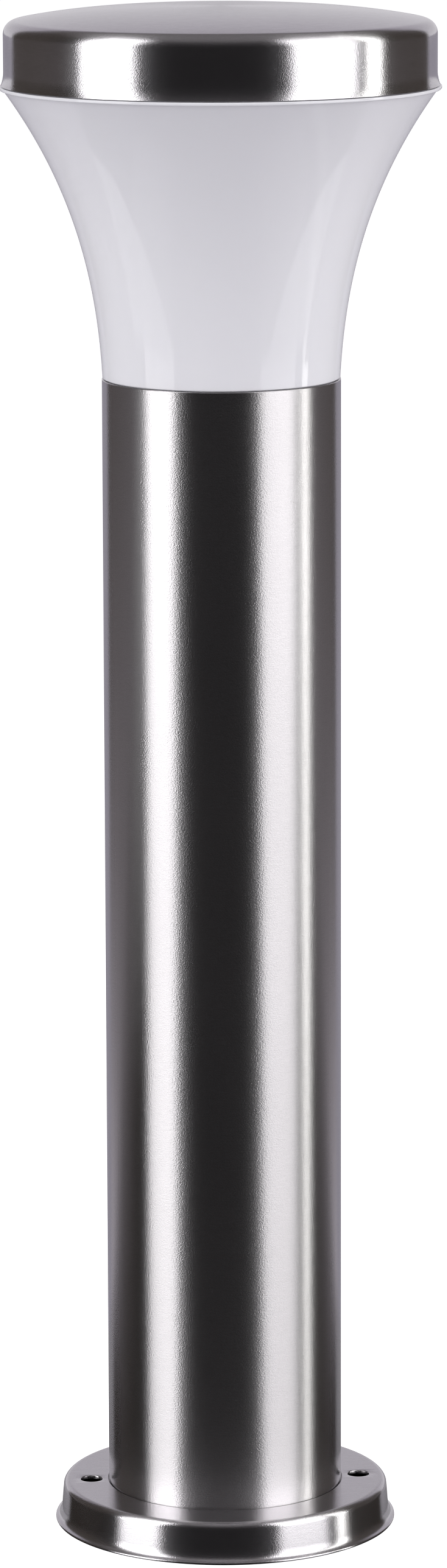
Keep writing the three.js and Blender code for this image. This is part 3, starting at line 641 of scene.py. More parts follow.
diffuser = {
    "sides": 192,
    "wall": 2.5 * mm,
    "flareRadius": 68.6 * mm,
    "shoulderInset": 0.2 * mm,
    "shares": (0.153, 0.549, 0.298),  # of the flare's reach, straight, squared and cubed
    "steps": 44,
    "flange": 1.1 * mm,
    "flangeEdge": 0.5 * mm,
    "flangeDrop": 0.7 * mm,  # the flange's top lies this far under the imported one
    "upstandRadius": 67.2 * mm,
    "upstandWall": 2.2 * mm,
    "upstandHeight": 11.5 * mm,
    "neckRadius": 36.2 * mm,
    "neckWall": 2.8 * mm,
    "neckTaper": 6 * mm,
    "groove": 1.3 * mm,
    "ringGap": 0.3 * mm,
    "seatGap": 0.3 * mm,
    "upstandRoot": 2 * mm,  # the upstand's bore ends this far above the flare's
    "edge": 0.25 * mm,
}


def flarePoints(fromRadius, toRadius, fromLevel, toLevel, steps):
    straight, squared, cubed = diffuser["shares"]
    points = []
    for i in range(steps + 1):
        t = i / steps
        share = straight * t + squared * t ** 2 + cubed * t ** 3
        points.append((fromRadius + (toRadius - fromRadius) * share, fromLevel + (toLevel - fromLevel) * t))
    return points


def offsetInwards(points, wall):
    moved = []
    for i, (radius, level) in enumerate(points):
        before, after = points[max(i - 1, 0)], points[min(i + 1, len(points) - 1)]
        along = Vector((after[0] - before[0], after[1] - before[1])).normalized()
        moved.append((radius - along.y * wall, level + along.x * wall))
    return moved


def makeDiffuser():
    low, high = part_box("diffuser")
    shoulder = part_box("tube")[1].z + diffuser["seatGap"]
    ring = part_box("neck_o_ring")
    flangeTop = high.z - diffuser["upstandHeight"] - diffuser["flangeDrop"]
    flareTop = flangeTop - diffuser["flange"]
    flangeRadius, edge, soft = high.x, diffuser["flangeEdge"], diffuser["edge"]
    neck, groove = diffuser["neckRadius"], diffuser["groove"]
    bore = neck - diffuser["neckWall"]
    grooveFloor = ring[1].x - (ring[1].z - ring[0].z) - diffuser["ringGap"]
    grooveLevel = (ring[0].z + ring[1].z) / 2
    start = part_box("tube")[1].x - diffuser["shoulderInset"]
    outside = flarePoints(start, diffuser["flareRadius"], shoulder, flareTop, diffuser["steps"])
    upstand, bank = diffuser["upstandRadius"], diffuser["upstandWall"]
    inside = [p for p in offsetInwards(outside, diffuser["wall"]) if p[0] < upstand - bank - soft]
    lastLevel = inside[-1][1] + diffuser["upstandRoot"]
    outline = [
        (bore + soft, low.z), (neck - 4 * soft, low.z), (neck, low.z + 4 * soft),
        (neck, grooveLevel - groove), (grooveFloor, grooveLevel - groove),
        (grooveFloor, grooveLevel + groove), (neck, grooveLevel + groove),
        (neck, shoulder), (start - soft, shoulder), (start, shoulder + soft),
        *outside[1:],
        *arc(flangeRadius - edge, flareTop + edge, edge, -90, 0, 6),
        (flangeRadius, flangeTop - soft), (flangeRadius - soft, flangeTop),
        (upstand, flangeTop), (upstand, high.z - soft), (upstand - soft, high.z),
        (upstand - bank + soft, high.z), (upstand - bank, high.z - soft), (upstand - bank, lastLevel),
        *reversed(inside[1:]),
        (bore, shoulder - diffuser["neckTaper"]), (bore, low.z + soft),
    ]
    piece = turned("opalDiffuser", outline, diffuser["sides"])
    dress(piece, "diffuser")


# Cap: pressed lid with a low dome, a rounded shoulder and a lower edge that flares out

cap = {
    "sides": 192,
    "sheet": 0.8 * mm,
    "wallRadius": 68.4 * mm,
    "flareHeight": 4.2 * mm,
    "flareSteps": 8,
    "corner": 4.4 * mm,
    "cornerSteps": 12,
    "apexDrop": 0.6 * mm,  # the dome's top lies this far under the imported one
    "domeDrop": 4.0 * mm,
    "domePower": 3.0,
    "domeSteps": 28,
    "domeGap": 0.5 * mm,  # the dome's first point stays this far inside the corner's last one
}


def domePoints(apex, radius, drop, power, steps):
    shares = [1 - i / steps for i in range(steps + 1)]
    return [(radius * share, apex - drop * share ** power) for share in shares]


def makeCap():
    low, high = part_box("cap")
    wall, corner, flare = cap["wallRadius"], cap["corner"], high.x - cap["wallRadius"]
    foot, apex = low.z - diffuser["flangeDrop"], high.z - cap["apexDrop"]
    domeRadius = wall - corner
    slope = math.atan(cap["domePower"] * cap["domeDrop"] / domeRadius)
    domeEdge = domeRadius + corner * math.sin(slope)
    dome = domePoints(apex, domeRadius, cap["domeDrop"], cap["domePower"], cap["domeSteps"])
    edgeDrop = cap["domeDrop"] * (domeEdge / domeRadius) ** cap["domePower"]
    cornerLevel = apex - edgeDrop - corner * math.cos(slope)
    steps = cap["flareSteps"]
    skirt = [(wall + flare * (1 - i / steps) ** 2, foot + cap["flareHeight"] * i / steps)
             for i in range(steps + 1)]
    outline = [
        *skirt, (wall, (skirt[-1][1] + cornerLevel) / 2),
        *arc(domeRadius, cornerLevel, corner, 0, 90 - math.degrees(slope), cap["cornerSteps"]),
        *[p for p in dome if p[0] < domeEdge - cap["domeGap"]],
    ]
    piece = turned("pressedCap", outline, cap["sides"], closed=False)
    applyModifier(piece, "SOLIDIFY", thickness=cap["sheet"], offset=-1, use_even_offset=True)
    finishShape(piece)
    dress(piece, "cap")


seals = {
    "sectionSteps": 20,
    "packedSection": 6,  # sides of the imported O-ring's section
    "soft": 0.3 * mm,
}


def makeSeals():
    low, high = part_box("neck_o_ring")
    radius = (high.z - low.z) / 2 / math.cos(math.pi / seals["packedSection"])
    section = arc(high.x - radius, (low.z + high.z) / 2, radius, 0, 360, seals["sectionSteps"])[:-1]
    dress(turned("neckORing", section, largeSides), "neck_o_ring")
    low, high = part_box("cap_seal")
    section = softRing(high.x - diffuser["upstandWall"], high.x, low.z, high.z, seals["soft"])
    dress(turned("capSeal", section, largeSides), "cap_seal")


# Screws, nuts and rods

fixings = {
    "rodPitch": 0.7 * mm,
    "rodRoot": 1.62 * mm,
    "washerFit": 1.12,  # three bores, as shares of the rod through them
    "nutFit": 1.02,
    "plateFit": 1.15,
    "washerSoft": 0.12 * mm,
    "nutSoft": 0.25 * mm,
    "nutFace": 0.96,  # share of a nut's width that its turned corners leave flat
    "nutSlope": math.radians(30),
    "slotWidth": 0.8 * mm,
    "headSoft": 0.4 * mm,
    "tipRadius": 0.7,  # a screw's tip, in shares of its shank
    "tipHeight": 0.4,
}


def hexagonNut(name, width, low, high, bore):  # on the Z axis, its corners turned off
    flat, corner = width / 2 * fixings["nutFace"], width / 2 / math.cos(math.pi / 6)
    clearSelection()
    bpy.ops.mesh.primitive_cylinder_add(
        vertices=6, radius=corner, depth=high - low, location=(0, 0, (low + high) / 2),
        rotation=(0, 0, math.pi / 6))
    nut = bpy.context.object
    nut.name = name
    bpy.ops.object.transform_apply(location=True, rotation=True)
    drop = (corner - flat) * math.tan(fixings["nutSlope"])
    outline = [(0, low), (flat, low), (corner, low + drop), (corner, high - drop), (flat, high), (0, high)]
    combine(nut, turned("nutShape", outline, smallSides), "INTERSECT")
    drill(nut, bore, low - mm, high + mm, 0, 0, screwSides)
    for level in (low, high):
        breakEdge(nut, onRing(bore, level), fixings["nutSoft"], segments=1)
    return finishShape(nut, smoothAngle=20)


def slottedScrew(name, shank, head, headHeight, length):
    # the head's face lies at the origin, and the shank points down the Z axis
    soft, tip = fixings["headSoft"], shank * fixings["tipRadius"]
    screw = turned(name, [
        (0, -length), (tip, -length), (shank, shank * fixings["tipHeight"] - length),
        (shank, -headHeight), (head - soft / 2, -headHeight), (head, soft / 2 - headHeight),
        *arc(head - soft, -soft, soft, 0, 90, 4), (0, 0)], screwSides)
    clearSelection()
    bpy.ops.mesh.primitive_cube_add(size=1, scale=(head * 3, fixings["slotWidth"], headHeight))
    combine(screw, bpy.context.object, "DIFFERENCE")
    return finishShape(screw)


def makeRodSets():
    low, high, _, _, radius = placeOf("tie_rod_front")
    rod = threadedBar("rodPattern", radius, fixings["rodRoot"], fixings["rodPitch"], low, high)
    low, high, _, _, outer = placeOf("base_washer_front")
    section = softRing(radius * fixings["washerFit"], outer, low, high, fixings["washerSoft"])
    washer = turned("washerPattern", section, smallSides)
    low, high, _, _, _ = placeOf("base_nut_front")
    nut = hexagonNut("nutPattern", widthOf("base_nut_front"), low, high, radius * fixings["nutFit"])
    for side in ("front", "rear"):
        _, _, x, y, _ = placeOf("tie_rod_" + side)
        for pattern, kind in ((rod, "tie_rod"), (washer, "base_washer")):
            dress(copyOf(pattern, camelName(kind) + "." + side, (x, y, 0)), kind + "_" + side)
        for kind in ("base_nut", "foot_nut", "carrier_lower_nut", "carrier_upper_nut"):
            node = kind + "_" + side
            dress(copyOf(nut, camelName(kind) + "." + side, (x, y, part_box(node)[0].z - low)), node)
    discard(rod, washer, nut)


# Foot of the column: welded cup, grommet and the grip for the supply cord

softEdges = {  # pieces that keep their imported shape, with their edges rounded
    "cord_bracket": 0.3 * mm,
    "cord_clamp": 0.5 * mm,
    "block_bracket": 0.3 * mm,
    "terminal_block": 0.4 * mm,
    "earth_lug": 0.15 * mm,
    "leaf_clip": 0.15 * mm,
    "lead": 0.02 * mm,
}

footInside = {
    "cupSheet": 2 * mm,
    "cupHole": 11 * mm,
    "cupCorner": 1.6 * mm,
    "cupSoft": 0.3 * mm,
    "grommetLip": 1.4 * mm,
    "grommetBore": 4.2 * mm,
    "grommetGroove": 7.7 * mm,
    "clampScrew": 1.5 * mm,
    "clampScrewHead": 2 * mm,
    "clampScrewSlot": 0.6,  # how far its slot is turned
}


def softenPieces(*nodes):
    for node in nodes:
        dress(softCopy(node, camelName(node), softEdges[node]), node)


def rodHoles(piece, lower, upper):
    for node in ("tie_rod_front", "tie_rod_rear"):
        _, _, x, y, radius = placeOf(node)
        drill(piece, radius * fixings["plateFit"], lower - mm, upper + mm, x, y, sides=40)


def makeFootInside():
    low, high, _, _, outer = placeOf("foot_disc")
    sheet, corner, soft = footInside["cupSheet"], footInside["cupCorner"], footInside["cupSoft"]
    hole, floor, wall = footInside["cupHole"], low + sheet, outer - sheet
    piece = turned("footCup", [
        (hole + soft, low), *arc(outer - corner, low + corner, corner, -90, 0, 8),
        (outer, high - soft), (outer - soft, high), (wall + soft, high), (wall, high - soft),
        *arc(wall - soft, floor + soft, soft, 0, -90, 4),
        (hole + soft, floor), (hole, floor - soft), (hole, low + soft),
    ], largeSides)
    rodHoles(piece, low, floor)
    dress(finishShape(piece), "foot_disc")
    low, high, _, _, outer = placeOf("cable_grommet")
    lip, groove, bore = footInside["grommetLip"], footInside["grommetGroove"], footInside["grommetBore"]
    half = lip / 2
    dress(turned("cableGrommet", [
        *arc(bore + half, low + half, half, 180, 270, 5), *arc(outer - half, low + half, half, -90, 90, 10),
        (groove, low + lip), (groove, high - lip),
        *arc(outer - half, high - half, half, -90, 90, 10), *arc(bore + half, high - half, half, 90, 180, 5),
    ], mediumSides), "cable_grommet")
    softenPieces("cord_bracket", "cord_clamp")
    for side in ("left", "right"):
        node = "cord_clamp_screw_" + side
        low, high, x, _, head = placeOf(node)
        screw = slottedScrew("cordClampScrew." + side, footInside["clampScrew"], head,
                             footInside["clampScrewHead"], widthOf(node))
        place = (x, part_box(node)[0].y, (low + high) / 2)
        dress(putAt(screw, place, (math.pi / 2, footInside["clampScrewSlot"], 0)), node)


# Lamp carrier with its clips, terminal block and leads

carrier = {
    "sheet": 1.5 * mm,
    "corner": 1.2 * mm,
    "soft": 0.3 * mm,
    "nippleFit": 1.04,  # three bores, as shares of what goes through them
    "rivetFit": 1.1,
    "earthFit": 0.58,
    "rivetShank": 1.2 * mm,
    "rivetHead": 1.0 * mm,
    "rivetDome": 0.9 * mm,
    "blockScrew": 1.5 * mm,
    "blockScrewHead": 1.8 * mm,
    "earthScrew": 2 * mm,
    "earthScrewHead": 2.4 * mm,
    "earthScrewSlot": 0.5,
    "earthNutBore": 2.05 * mm,
}


def makeCarrierPlate():
    low, high, _, _, outer = placeOf("lamp_carrier")
    sheet, corner, soft = carrier["sheet"], carrier["corner"], carrier["soft"]
    bore, wall, under = placeOf("holder_nipple")[4] * carrier["nippleFit"], outer - sheet, high - sheet
    piece = turned("lampCarrier", [
        (bore + soft, under), *arc(wall - soft, under - soft, soft, 90, 0, 4),
        (wall, low + soft), (wall + soft, low), (outer - soft, low), (outer, low + soft),
        *arc(outer - corner, high - corner, corner, 0, 90, 8), (bore + soft, high),
        (bore, high - soft), (bore, under + soft),
    ], largeSides)
    rodHoles(piece, under, high)
    for index in (1, 2, 3):
        _, _, x, y, _ = placeOf(f"clip_rivet_{index}")
        drill(piece, carrier["rivetShank"] * carrier["rivetFit"], low, high + mm, x, y, screwSides)
    _, _, x, y, radius = placeOf("earth_screw")
    drill(piece, radius * carrier["earthFit"], low, high + mm, x, y, screwSides)
    dress(finishShape(piece), "lamp_carrier")


def makeCarrier():
    makeCarrierPlate()
    soft, shank, thick, dome = (carrier[key] for key in ("soft", "rivetShank", "rivetHead", "rivetDome"))
    for index in (1, 2, 3):
        node = f"clip_rivet_{index}"
        low, high, x, y, head = placeOf(node)
        dress(turned(f"clipRivet.{index}", [
            (0, low), (head - soft, low), (head, low + soft), (head, low + thick), (shank, low + thick),
            (shank, high - thick), (head, high - thick), *arc(head - dome, high - dome, dome, 0, 90, 6)[1:],
            (0, high)], sides=40, x=x, y=y), node)
        node = f"leaf_clip_{index}"
        dress(softCopy(node, f"leafClip.{index}", softEdges["leaf_clip"], segments=1), node)
    softenPieces("block_bracket", "terminal_block", "earth_lug")
    lowest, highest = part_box("block_screw")
    screw = slottedScrew("blockScrew", carrier["blockScrew"], (highest.z - lowest.z) / 2,
                         carrier["blockScrewHead"], highest.x - lowest.x)
    place = (highest.x, (lowest.y + highest.y) / 2, (lowest.z + highest.z) / 2)
    dress(putAt(screw, place, (0, math.pi / 2, 0)), "block_screw")
    low, high, x, y, head = placeOf("earth_screw")
    screw = slottedScrew("earthScrew", carrier["earthScrew"], head, carrier["earthScrewHead"], high - low)
    dress(putAt(screw, (x, y, high), (0, 0, carrier["earthScrewSlot"])), "earth_screw")
    low, high, x, y, _ = placeOf("earth_nut")
    nut = hexagonNut("earthNut", widthOf("earth_nut"), low, high, carrier["earthNutBore"])
    dress(putAt(nut, (x, y, 0)), "earth_nut")


# Lampholder

lampholder = {
    "wall": 4.6 * mm,
    "floor": 4 * mm,
    "soft": 1.1 * mm,
    "ledge": 1.5 * mm,  # the insert rests on it
    "insertGap": 0.3 * mm,
    "bodyFit": 1.05,  # the body's hole, as a share of the nipple
    "waist": (9 * mm, 11 * mm),  # levels of the groove round the body
    "waistDepth": 0.5 * mm,
    "insertSoft": 0.4 * mm,
    "insertHole": 1.4 * mm,
    "insertHoleAside": 5 * mm,
    "shellDepth": 0.5 * mm,
    "shellSheet": 0.35 * mm,
    "contactSoft": 0.3 * mm,
    "nippleBore": 3.6 * mm,
    "nippleDepth": 0.5 * mm,
    "nipplePitch": 1.0 * mm,
    "threadPitch": 3.6 * mm,  # of the shell and of the bulb's cap
}


def makeLampholder():
    low, high, _, _, outer = placeOf("lampholder_body")
    wall, soft, depth = lampholder["wall"], lampholder["soft"], lampholder["waistDepth"]
    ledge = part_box("lampholder_insert")[0].z - lampholder["insertGap"]
    bore, entry = outer - wall, placeOf("holder_nipple")[4] * lampholder["bodyFit"]
    well, floor = bore - lampholder["ledge"], low + lampholder["floor"]
    lower, upper = (low + level for level in lampholder["waist"])
    dress(turned("holderBody", [
        (entry, low), *arc(outer - soft, low + soft, soft, -90, 0, 5),
        (outer, lower), (outer - depth, lower + depth), (outer - depth, upper - depth), (outer, upper),
        *arc(outer - soft, high - soft, soft, 0, 90, 5), *arc(bore + soft, high - soft, soft, 90, 180, 5),
        (bore, ledge), (well, ledge), (well, floor), (entry, floor),
    ]), "lampholder_body")
    low, high, _, _, outer = placeOf("lampholder_insert")
    piece = turned("holderInsert", softDisc(outer, low, high, lampholder["insertSoft"]), mediumSides)
    for x in (-lampholder["insertHoleAside"], lampholder["insertHoleAside"]):
        drill(piece, lampholder["insertHole"], low - mm, high + mm, x, 0, screwSides)
    dress(finishShape(piece), "lampholder_insert")
    low, high, _, _, outer = placeOf("lampholder_shell")
    shell = threadedSkin("holderShell", outer, outer - lampholder["shellDepth"], lampholder["threadPitch"],
                         low, high, steps=64, bends=10)
    trimEnds(low, high, False)
    applyModifier(shell, "SOLIDIFY", thickness=lampholder["shellSheet"], offset=-1)
    dress(finishShape(shell, smoothAngle=40), "lampholder_shell")
    low, high, _, _, outer = placeOf("lampholder_contact")
    contact = turned("holderContact", softDisc(outer, low, high, lampholder["contactSoft"]), smallSides)
    dress(contact, "lampholder_contact")
    low, high, _, _, outer = placeOf("holder_nipple")
    piece = threadedBar("holderNipple", outer, outer - lampholder["nippleDepth"], lampholder["nipplePitch"],
                        low, high, steps=40)
    drill(piece, lampholder["nippleBore"], low - mm, high + mm, 0, 0, smallSides)
    dress(finishShape(piece, smoothAngle=40), "holder_nipple")
    low, high, _, _, _ = placeOf("nipple_nut")
    nut = hexagonNut("nippleNut", widthOf("nipple_nut"), low, high, outer * fixings["nutFit"])
    dress(nut, "nipple_nut")


# Bulb: opal globe lamp with a screw cap

bulb = {
    "glassWall": 0.9 * mm,
    "neck": 12.4 * mm,
    "neckHeight": 1.0 * mm,  # above the screw cap
    "tangent": -35.0,  # the globe's round starts and ends at these angles
    "top": 88,
    "globeSteps": 36,
    "waistSteps": 14,
    "threadDrop": 0.1 * mm,
    "threadDepth": 0.85 * mm,
    "collar": 4.0 * mm,
    "collarFoot": (0.3 * mm, 0.4 * mm),  # its corners, as inset and height
    "collarTop": (0.15 * mm, 0.3 * mm),
    "collarRim": 0.5 * mm,
    "core": 0.6 * mm,  # how far the collar's core lies inside the thread's root
    "coreEnd": 1.0 * mm,
    "insulatorFoot": 7.4 * mm,
    "insulatorSoft": (0.5 * mm, 0.4 * mm),
    "insulatorBend": (1.5 * mm, 1.2 * mm),
    "insulatorRim": 0.3 * mm,
    "contactBend": (0.3, 0.9),  # shares of the contact's radius
    "contactEdge": 0.3 * mm,
    "curveSteps": 8,
}


def makeBulb():
    low, high, _, _, globe = placeOf("bulb_glass")
    wall, neck = bulb["glassWall"], bulb["neck"]
    centre, tangent = high - globe, math.radians(bulb["tangent"])
    start = (globe * math.cos(tangent), centre + globe * math.sin(tangent))
    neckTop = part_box("bulb_screw_cap")[1].z + bulb["neckHeight"]
    bend = (neck, max(neckTop, start[1] - (start[0] - neck) / math.tan(-tangent)))
    outside = [(neck, low), *curvePoints((neck, neckTop), bend, start, bulb["waistSteps"]),
               *arc(0, centre, globe, bulb["tangent"], bulb["top"], bulb["globeSteps"])[1:]]
    inside = [p for p in reversed(offsetInwards(outside, wall)) if p[1] < high - wall]
    glass = turned("bulbGlass", [*outside, (0, high), (0, high - wall), *inside], largeSides)
    dress(glass, "bulb_glass")


def makeBulbCap():
    low, high, _, _, outer = placeOf("bulb_screw_cap")
    step, root = high - bulb["collar"], outer - bulb["threadDepth"]
    piece = threadedSkin("bulbScrewCap", outer - bulb["threadDrop"], root, lampholder["threadPitch"],
                         low, step, steps=72, bends=12)
    trimEnds(low, step, True)
    core, end, rim = root - bulb["core"], bulb["coreEnd"], bulb["collarRim"]
    (footInset, footRise), (topInset, topDrop) = bulb["collarFoot"], bulb["collarTop"]
    combine(piece, turned("collar", [
        (0, low + end), (core, low + end), (core, step - end), (root, step - bulb["core"]),
        (outer - footInset, step), (outer, step + footRise), (outer - topInset, high - topDrop),
        (outer - rim, high), (0, high)], mediumSides), "UNION")
    dress(finishShape(piece, smoothAngle=40), "bulb_screw_cap")
    low, high, _, _, outer = placeOf("bulb_insulator")
    foot, rim, steps = bulb["insulatorFoot"], bulb["insulatorRim"], bulb["curveSteps"]
    (softInset, softRise), (bendOut, bendDrop) = bulb["insulatorSoft"], bulb["insulatorBend"]
    side = curvePoints((foot, low + softRise), (foot + bendOut, high - bendDrop),
                       (outer - rim, high - softRise), steps)
    outline = [(0, low), (foot - softInset, low), *side, (outer - softRise, high), (0, high)]
    dress(turned("bulbInsulator", outline, mediumSides), "bulb_insulator")
    low, high, _, _, outer = placeOf("bulb_contact")
    inner, middle = (outer * share for share in bulb["contactBend"])
    side = curvePoints((inner, low), (middle, low), (outer, high - bulb["contactEdge"]), steps)
    outline = [(0, low), *side, (outer, high), (0, high)]
    dress(turned("bulbContact", outline, smallSides), "bulb_contact")


def makeLeads():
    for node in ("live_lead", "neutral_lead", "earth_lead"):
        lead = softCopy(node, camelName(node), softEdges["lead"], segments=1)
        dress(finishShape(lead, smoothAngle=60), node)


makeTube()
print("tube made")
makeFootPlate()
print("foot plate made")
makeDiffuser()
makeCap()
makeSeals()
print("head made")
makeRodSets()
makeFootInside()
makeCarrier()
makeLampholder()
print("inner pieces made")
makeBulb()
makeBulbCap()
makeLeads()
print("bulb and leads made")


# Floor, light and camera, as in the photo

studio = {
    "turn": math.radians(-3.2),  # the camera stands this far round from -Y
    "distance": 2031.84 * mm,
    "aside": 0.23 * mm,
    "height": 626.5 * mm,
    "pitch": 0.186,
    "roll": math.radians(-0.19),
    "lens": 147.61,
    "ambient": (0.405, 0.40, 0.42),
    "screenHalfAngle": math.radians(36.5),  # a lit screen stands behind, to reflections
    "screenTop": math.sin(math.radians(38)),
    "screenSoft": 0.008,
    "centre": 0.1 * mm,  # no distance counts as less, so that nothing is divided by zero
}

# Distance, from and to in degrees round from the camera, lower and upper level, brightness, colour
softboxes = {
    "leftSoftbox": (2.2, -78.0, -46.5, 0.0, 3.3, 3.1, (1, 0.99, 1)),
    "rightSoftbox": (1.6, 37.8, 75.3, 0.0, 2.6, 2.4, (1, 0.985, 1)),
    "rightStrip": (1.6, 84.2, 91.6, 0.0, 2.6, 4.6, (1, 1, 0.97)),
    "leftFill": (2.2, -95, -35, 0.0, 3.3, 0.45, (1, 1, 1)),
}

room = {  # as reflections show it, each part from its first colour to its last
    "topSoft": (-0.08, 0.04),
    "screen": ((0.66, 0.645, 0.675), (0.39, 0.365, 0.41)),
    "screenFade": (-0.02, 0.6),
    "walls": ((0.016, 0.015, 0.016), (0.058, 0.05, 0.044)),
    "wallsFade": (-0.25, 0.35),
    "overhead": (0.2, 0.19, 0.195),
    "overheadFade": (0.62, 0.84),
}

paleFloor = {  # white to the camera, and to reflections a dark mirror with lit parts
    "radius": 14.0,
    "glow": 0.8,
    "shadowed": (0.5, 0.5, 0.5),
    "hidden": 0.053,  # under the foot plate it doesn't glow
    "matt": (0.50, 0.49, 0.52),
    "farLine": 0.239,  # lit from this distance behind, nearer at the sides
    "farSlope": 0.21,
    "farSoft": (-0.01, 0.02),
    "behind": (0.31, 0.295, 0.34),
    "beside": ((0.09, 0.08, 0.078), (0.40, 0.375, 0.41)),
    "besideFade": (0.55, 1.5),
    "sideLine": 0.53,  # lit beyond this distance aside, and how fast that line spreads
    "sideSpread": 0.42,
    "sideSoft": 0.006,
    "sideLight": (0.9, 0.9, 0.92),
    "grazing": (0.69, 0.74),  # Layer Weight's facing, where a ray comes lower than some 17 degrees
    "mirror": (0.08, 0.62),
    "mirrorRoughness": 0.06,
}


def makeSoftboxes():
    for name, (reach, fromAngle, toAngle, low, high, brightness, colour) in softboxes.items():
        angle = studio["turn"] + math.radians((fromAngle + toAngle) / 2)
        width = 2 * reach * math.tan(math.radians(toAngle - fromAngle) / 2)
        bpy.ops.object.light_add(
            type="AREA", location=(reach * math.sin(angle), -reach * math.cos(angle), (low + high) / 2),
            rotation=(math.pi / 2, 0, angle))
        lamp = bpy.context.object
        lamp.name = name
        lamp.data.shape = "RECTANGLE"
        lamp.data.size = width
        lamp.data.size_y = high - low
        lamp.data.energy = brightness * math.pi * width * (high - low)
        lamp.data.color = colour
        lamp.visible_camera = False
        lamp.visible_glossy = not name.endswith("Fill")


def addShaders(material, first, second, factor=None):  # their sum, or their mix by a factor
    node = addNode(material, "ShaderNodeAddShader" if factor is None else "ShaderNodeMixShader")
    if factor is not None:
        link(material, factor, node.inputs["Fac"])
    link(material, first.outputs[0], node.inputs[-2])
    link(material, second.outputs[0], node.inputs[-1])
    return node


def addLook(material, kind, **values):
    node = addNode(material, kind)
    for name, value in values.items():
        feed(material, value, node.inputs[name])
    return node


def addPlace(holder, vector):
    # where a place or a direction lies as the camera sees it: across, back and up, how far out,
    # how close to straight behind as a cosine, and whether the screen stands there
    parts = addNode(holder, "ShaderNodeSeparateXYZ")
    link(holder, vector, parts.inputs["Vector"])
    x, y, up = (parts.outputs[axis] for axis in "XYZ")
    cosTurn, sinTurn = math.cos(studio["turn"]), math.sin(studio["turn"])
    across = addMath(holder, "ADD", times(holder, x, cosTurn), times(holder, y, sinTurn))
    back = addMath(holder, "SUBTRACT", times(holder, y, cosTurn), times(holder, x, sinTurn))
    squares = addMath(holder, "ADD", times(holder, across, across), times(holder, back, back))
    distance = addMath(holder, "SQRT", squares)
    cosine = addMath(holder, "DIVIDE", back, addMath(holder, "MAXIMUM", distance, studio["centre"]))
    edge, soft = math.cos(studio["screenHalfAngle"]), studio["screenSoft"]
    screen = addRange(holder, cosine, 0, 1, edge - soft, edge + soft)
    return {"across": across, "back": back, "up": up,
            "distance": distance, "cosine": cosine, "screen": screen}


def makeWorld():
    world = bpy.data.worlds.new("studioWorld")
    bpy.context.scene.world = world
    world.use_nodes = True
    world.cycles.sampling_method = "NONE"
    place = addPlace(world, addNode(world, "ShaderNodeTexCoord").outputs["Generated"])
    up = place["up"]
    below = addRange(world, up, 1, 0, *[studio["screenTop"] + soft for soft in room["topSoft"]])
    screen = times(world, place["screen"], below)
    screenColour = addMix(world, addRange(world, up, 0, 1, *room["screenFade"]), *room["screen"])
    wallColour = addMix(world, addRange(world, place["cosine"], 0, 1, *room["wallsFade"]), *room["walls"])
    overhead = addRange(world, up, 0, 1, *room["overheadFade"])
    seen = addMix(world, screen, addMix(world, overhead, wallColour, room["overhead"]), screenColour)
    rays = addNode(world, "ShaderNodeLightPath")
    plain = addMix(world, rays.outputs["Is Glossy Ray"], studio["ambient"], seen)
    clear = addMath(world, "MAXIMUM", rays.outputs["Is Camera Ray"], rays.outputs["Is Transmission Ray"])
    colour = addMix(world, clear, plain, (1.0, 1.0, 1.0))
    link(world, colour, world.node_tree.nodes["Background"].inputs["Color"])


def addMirrorFloor(material, place):  # the floor as reflections show it
    black, white = (0.0, 0.0, 0.0), (1.0, 1.0, 1.0)
    aside = addMath(material, "ABSOLUTE", place["across"])
    reach = addMath(material, "ADD", place["back"], times(material, aside, paleFloor["farSlope"]))
    far = addRange(material, reach, 0, 1, *[paleFloor["farLine"] + soft for soft in paleFloor["farSoft"]])
    middle = addRange(material, place["distance"], 1, 0, *paleFloor["besideFade"])
    besideColour = addMix(material, middle, *paleFloor["beside"])
    farColour = addMix(material, place["screen"], besideColour, paleFloor["behind"])
    facing = addLook(material, "ShaderNodeLayerWeight", Blend=0.5).outputs["Facing"]
    grazing = addRange(material, facing, 0, 1, *paleFloor["grazing"])
    steep = addMath(material, "SUBTRACT", 1, grazing)
    forward = addMath(material, "MAXIMUM", times(material, place["back"], -1), 0)
    spread = times(material, forward, paleFloor["sideSpread"])
    beyond = addMath(material, "SUBTRACT", aside, addMath(material, "ADD", spread, paleFloor["sideLine"]))
    side = addRange(material, beyond, 0, 1, -paleFloor["sideSoft"], paleFloor["sideSoft"])
    nearColour = addMix(material, times(material, side, steep), black, paleFloor["sideLight"])
    lit = addLook(material, "ShaderNodeEmission", Color=addMix(material, far, nearColour, farColour))
    near = addMath(material, "SUBTRACT", 1, far)
    mirror = times(material, addRange(material, grazing, *paleFloor["mirror"], 0, 1), near)
    polish = addLook(material, "ShaderNodeBsdfGlossy", Color=addMix(material, mirror, black, white),
                     Roughness=paleFloor["mirrorRoughness"])
    return addShaders(material, lit, polish)


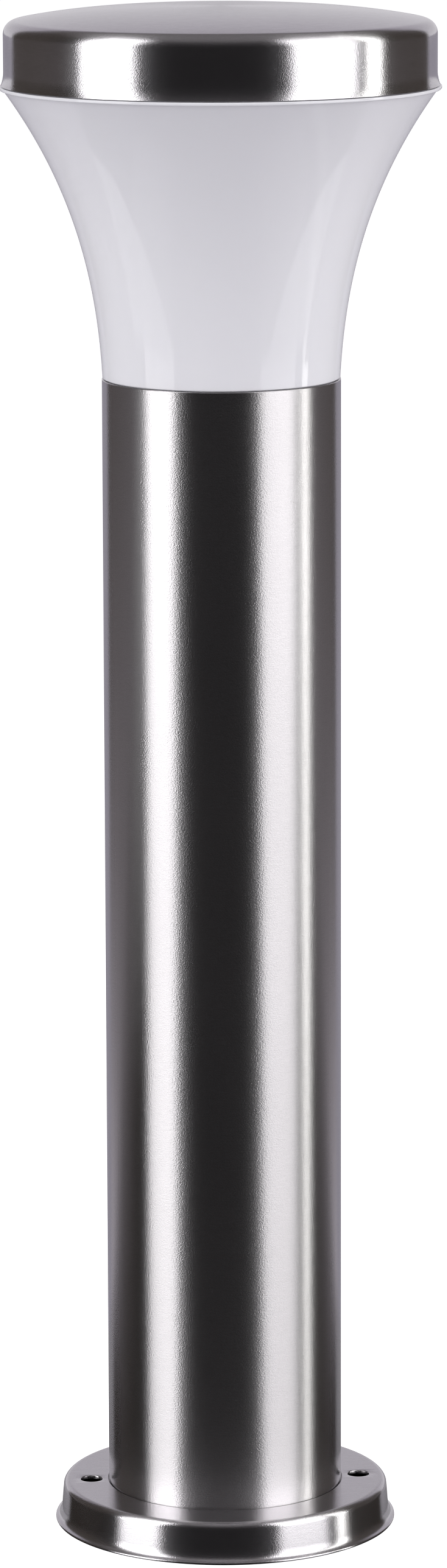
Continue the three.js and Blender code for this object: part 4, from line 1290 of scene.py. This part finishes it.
def makeFloor():
    clearSelection()
    bpy.ops.mesh.primitive_circle_add(vertices=64, radius=paleFloor["radius"], fill_type="NGON")
    floor = bpy.context.object
    floor.name = "paleFloor"
    material = bpy.data.materials.new("paleFloor")
    material.use_nodes = True
    nodes = material.node_tree.nodes
    nodes.remove(nodes["Principled BSDF"])
    place = addPlace(material, addNode(material, "ShaderNodeTexCoord").outputs["Object"])
    rays = addNode(material, "ShaderNodeLightPath")
    matt = addLook(material, "ShaderNodeBsdfDiffuse", Color=paleFloor["matt"])
    hidden = paleFloor["hidden"]
    openFloor = addRange(material, place["distance"], 0, 1, hidden, hidden + tiny)
    glow = addLook(material, "ShaderNodeEmission",
                   Strength=times(material, openFloor, paleFloor["glow"]))
    shadowed = addLook(material, "ShaderNodeBsdfDiffuse", Color=paleFloor["shadowed"])
    mirrored = addShaders(material, matt, addMirrorFloor(material, place), rays.outputs["Is Glossy Ray"])
    white = addShaders(material, glow, shadowed)
    shown = addShaders(material, mirrored, white, rays.outputs["Is Camera Ray"])
    # clear from below, so that the foot shows there
    backfacing = addNode(material, "ShaderNodeNewGeometry").outputs["Backfacing"]
    shown = addShaders(material, shown, addNode(material, "ShaderNodeBsdfTransparent"), backfacing)
    link(material, shown.outputs["Shader"], nodes["Material Output"].inputs["Surface"])
    floor.data.materials.append(material)


def makeCamera():
    turn = studio["turn"]
    bpy.ops.object.camera_add()
    camera = bpy.context.object
    camera.name = "photoCamera"
    camera.data.lens = studio["lens"]
    camera.data.clip_end = 100
    away = Vector((studio["aside"], -studio["distance"], studio["height"]))
    aim = (Matrix.Rotation(turn, 4, "Z") @ Matrix.Rotation(math.pi / 2 - studio["pitch"], 4, "X")
           @ Matrix.Rotation(studio["roll"], 4, "Z"))
    camera.matrix_world = Matrix.Translation(Matrix.Rotation(turn, 4, "Z") @ away) @ aim
    bpy.context.scene.camera = camera


makeSoftboxes()
makeWorld()
makeFloor()
makeCamera()
bpy.context.scene.view_settings.view_transform = "Standard"
print("studio made")

clearSelection()
bpy.context.view_layer.update()
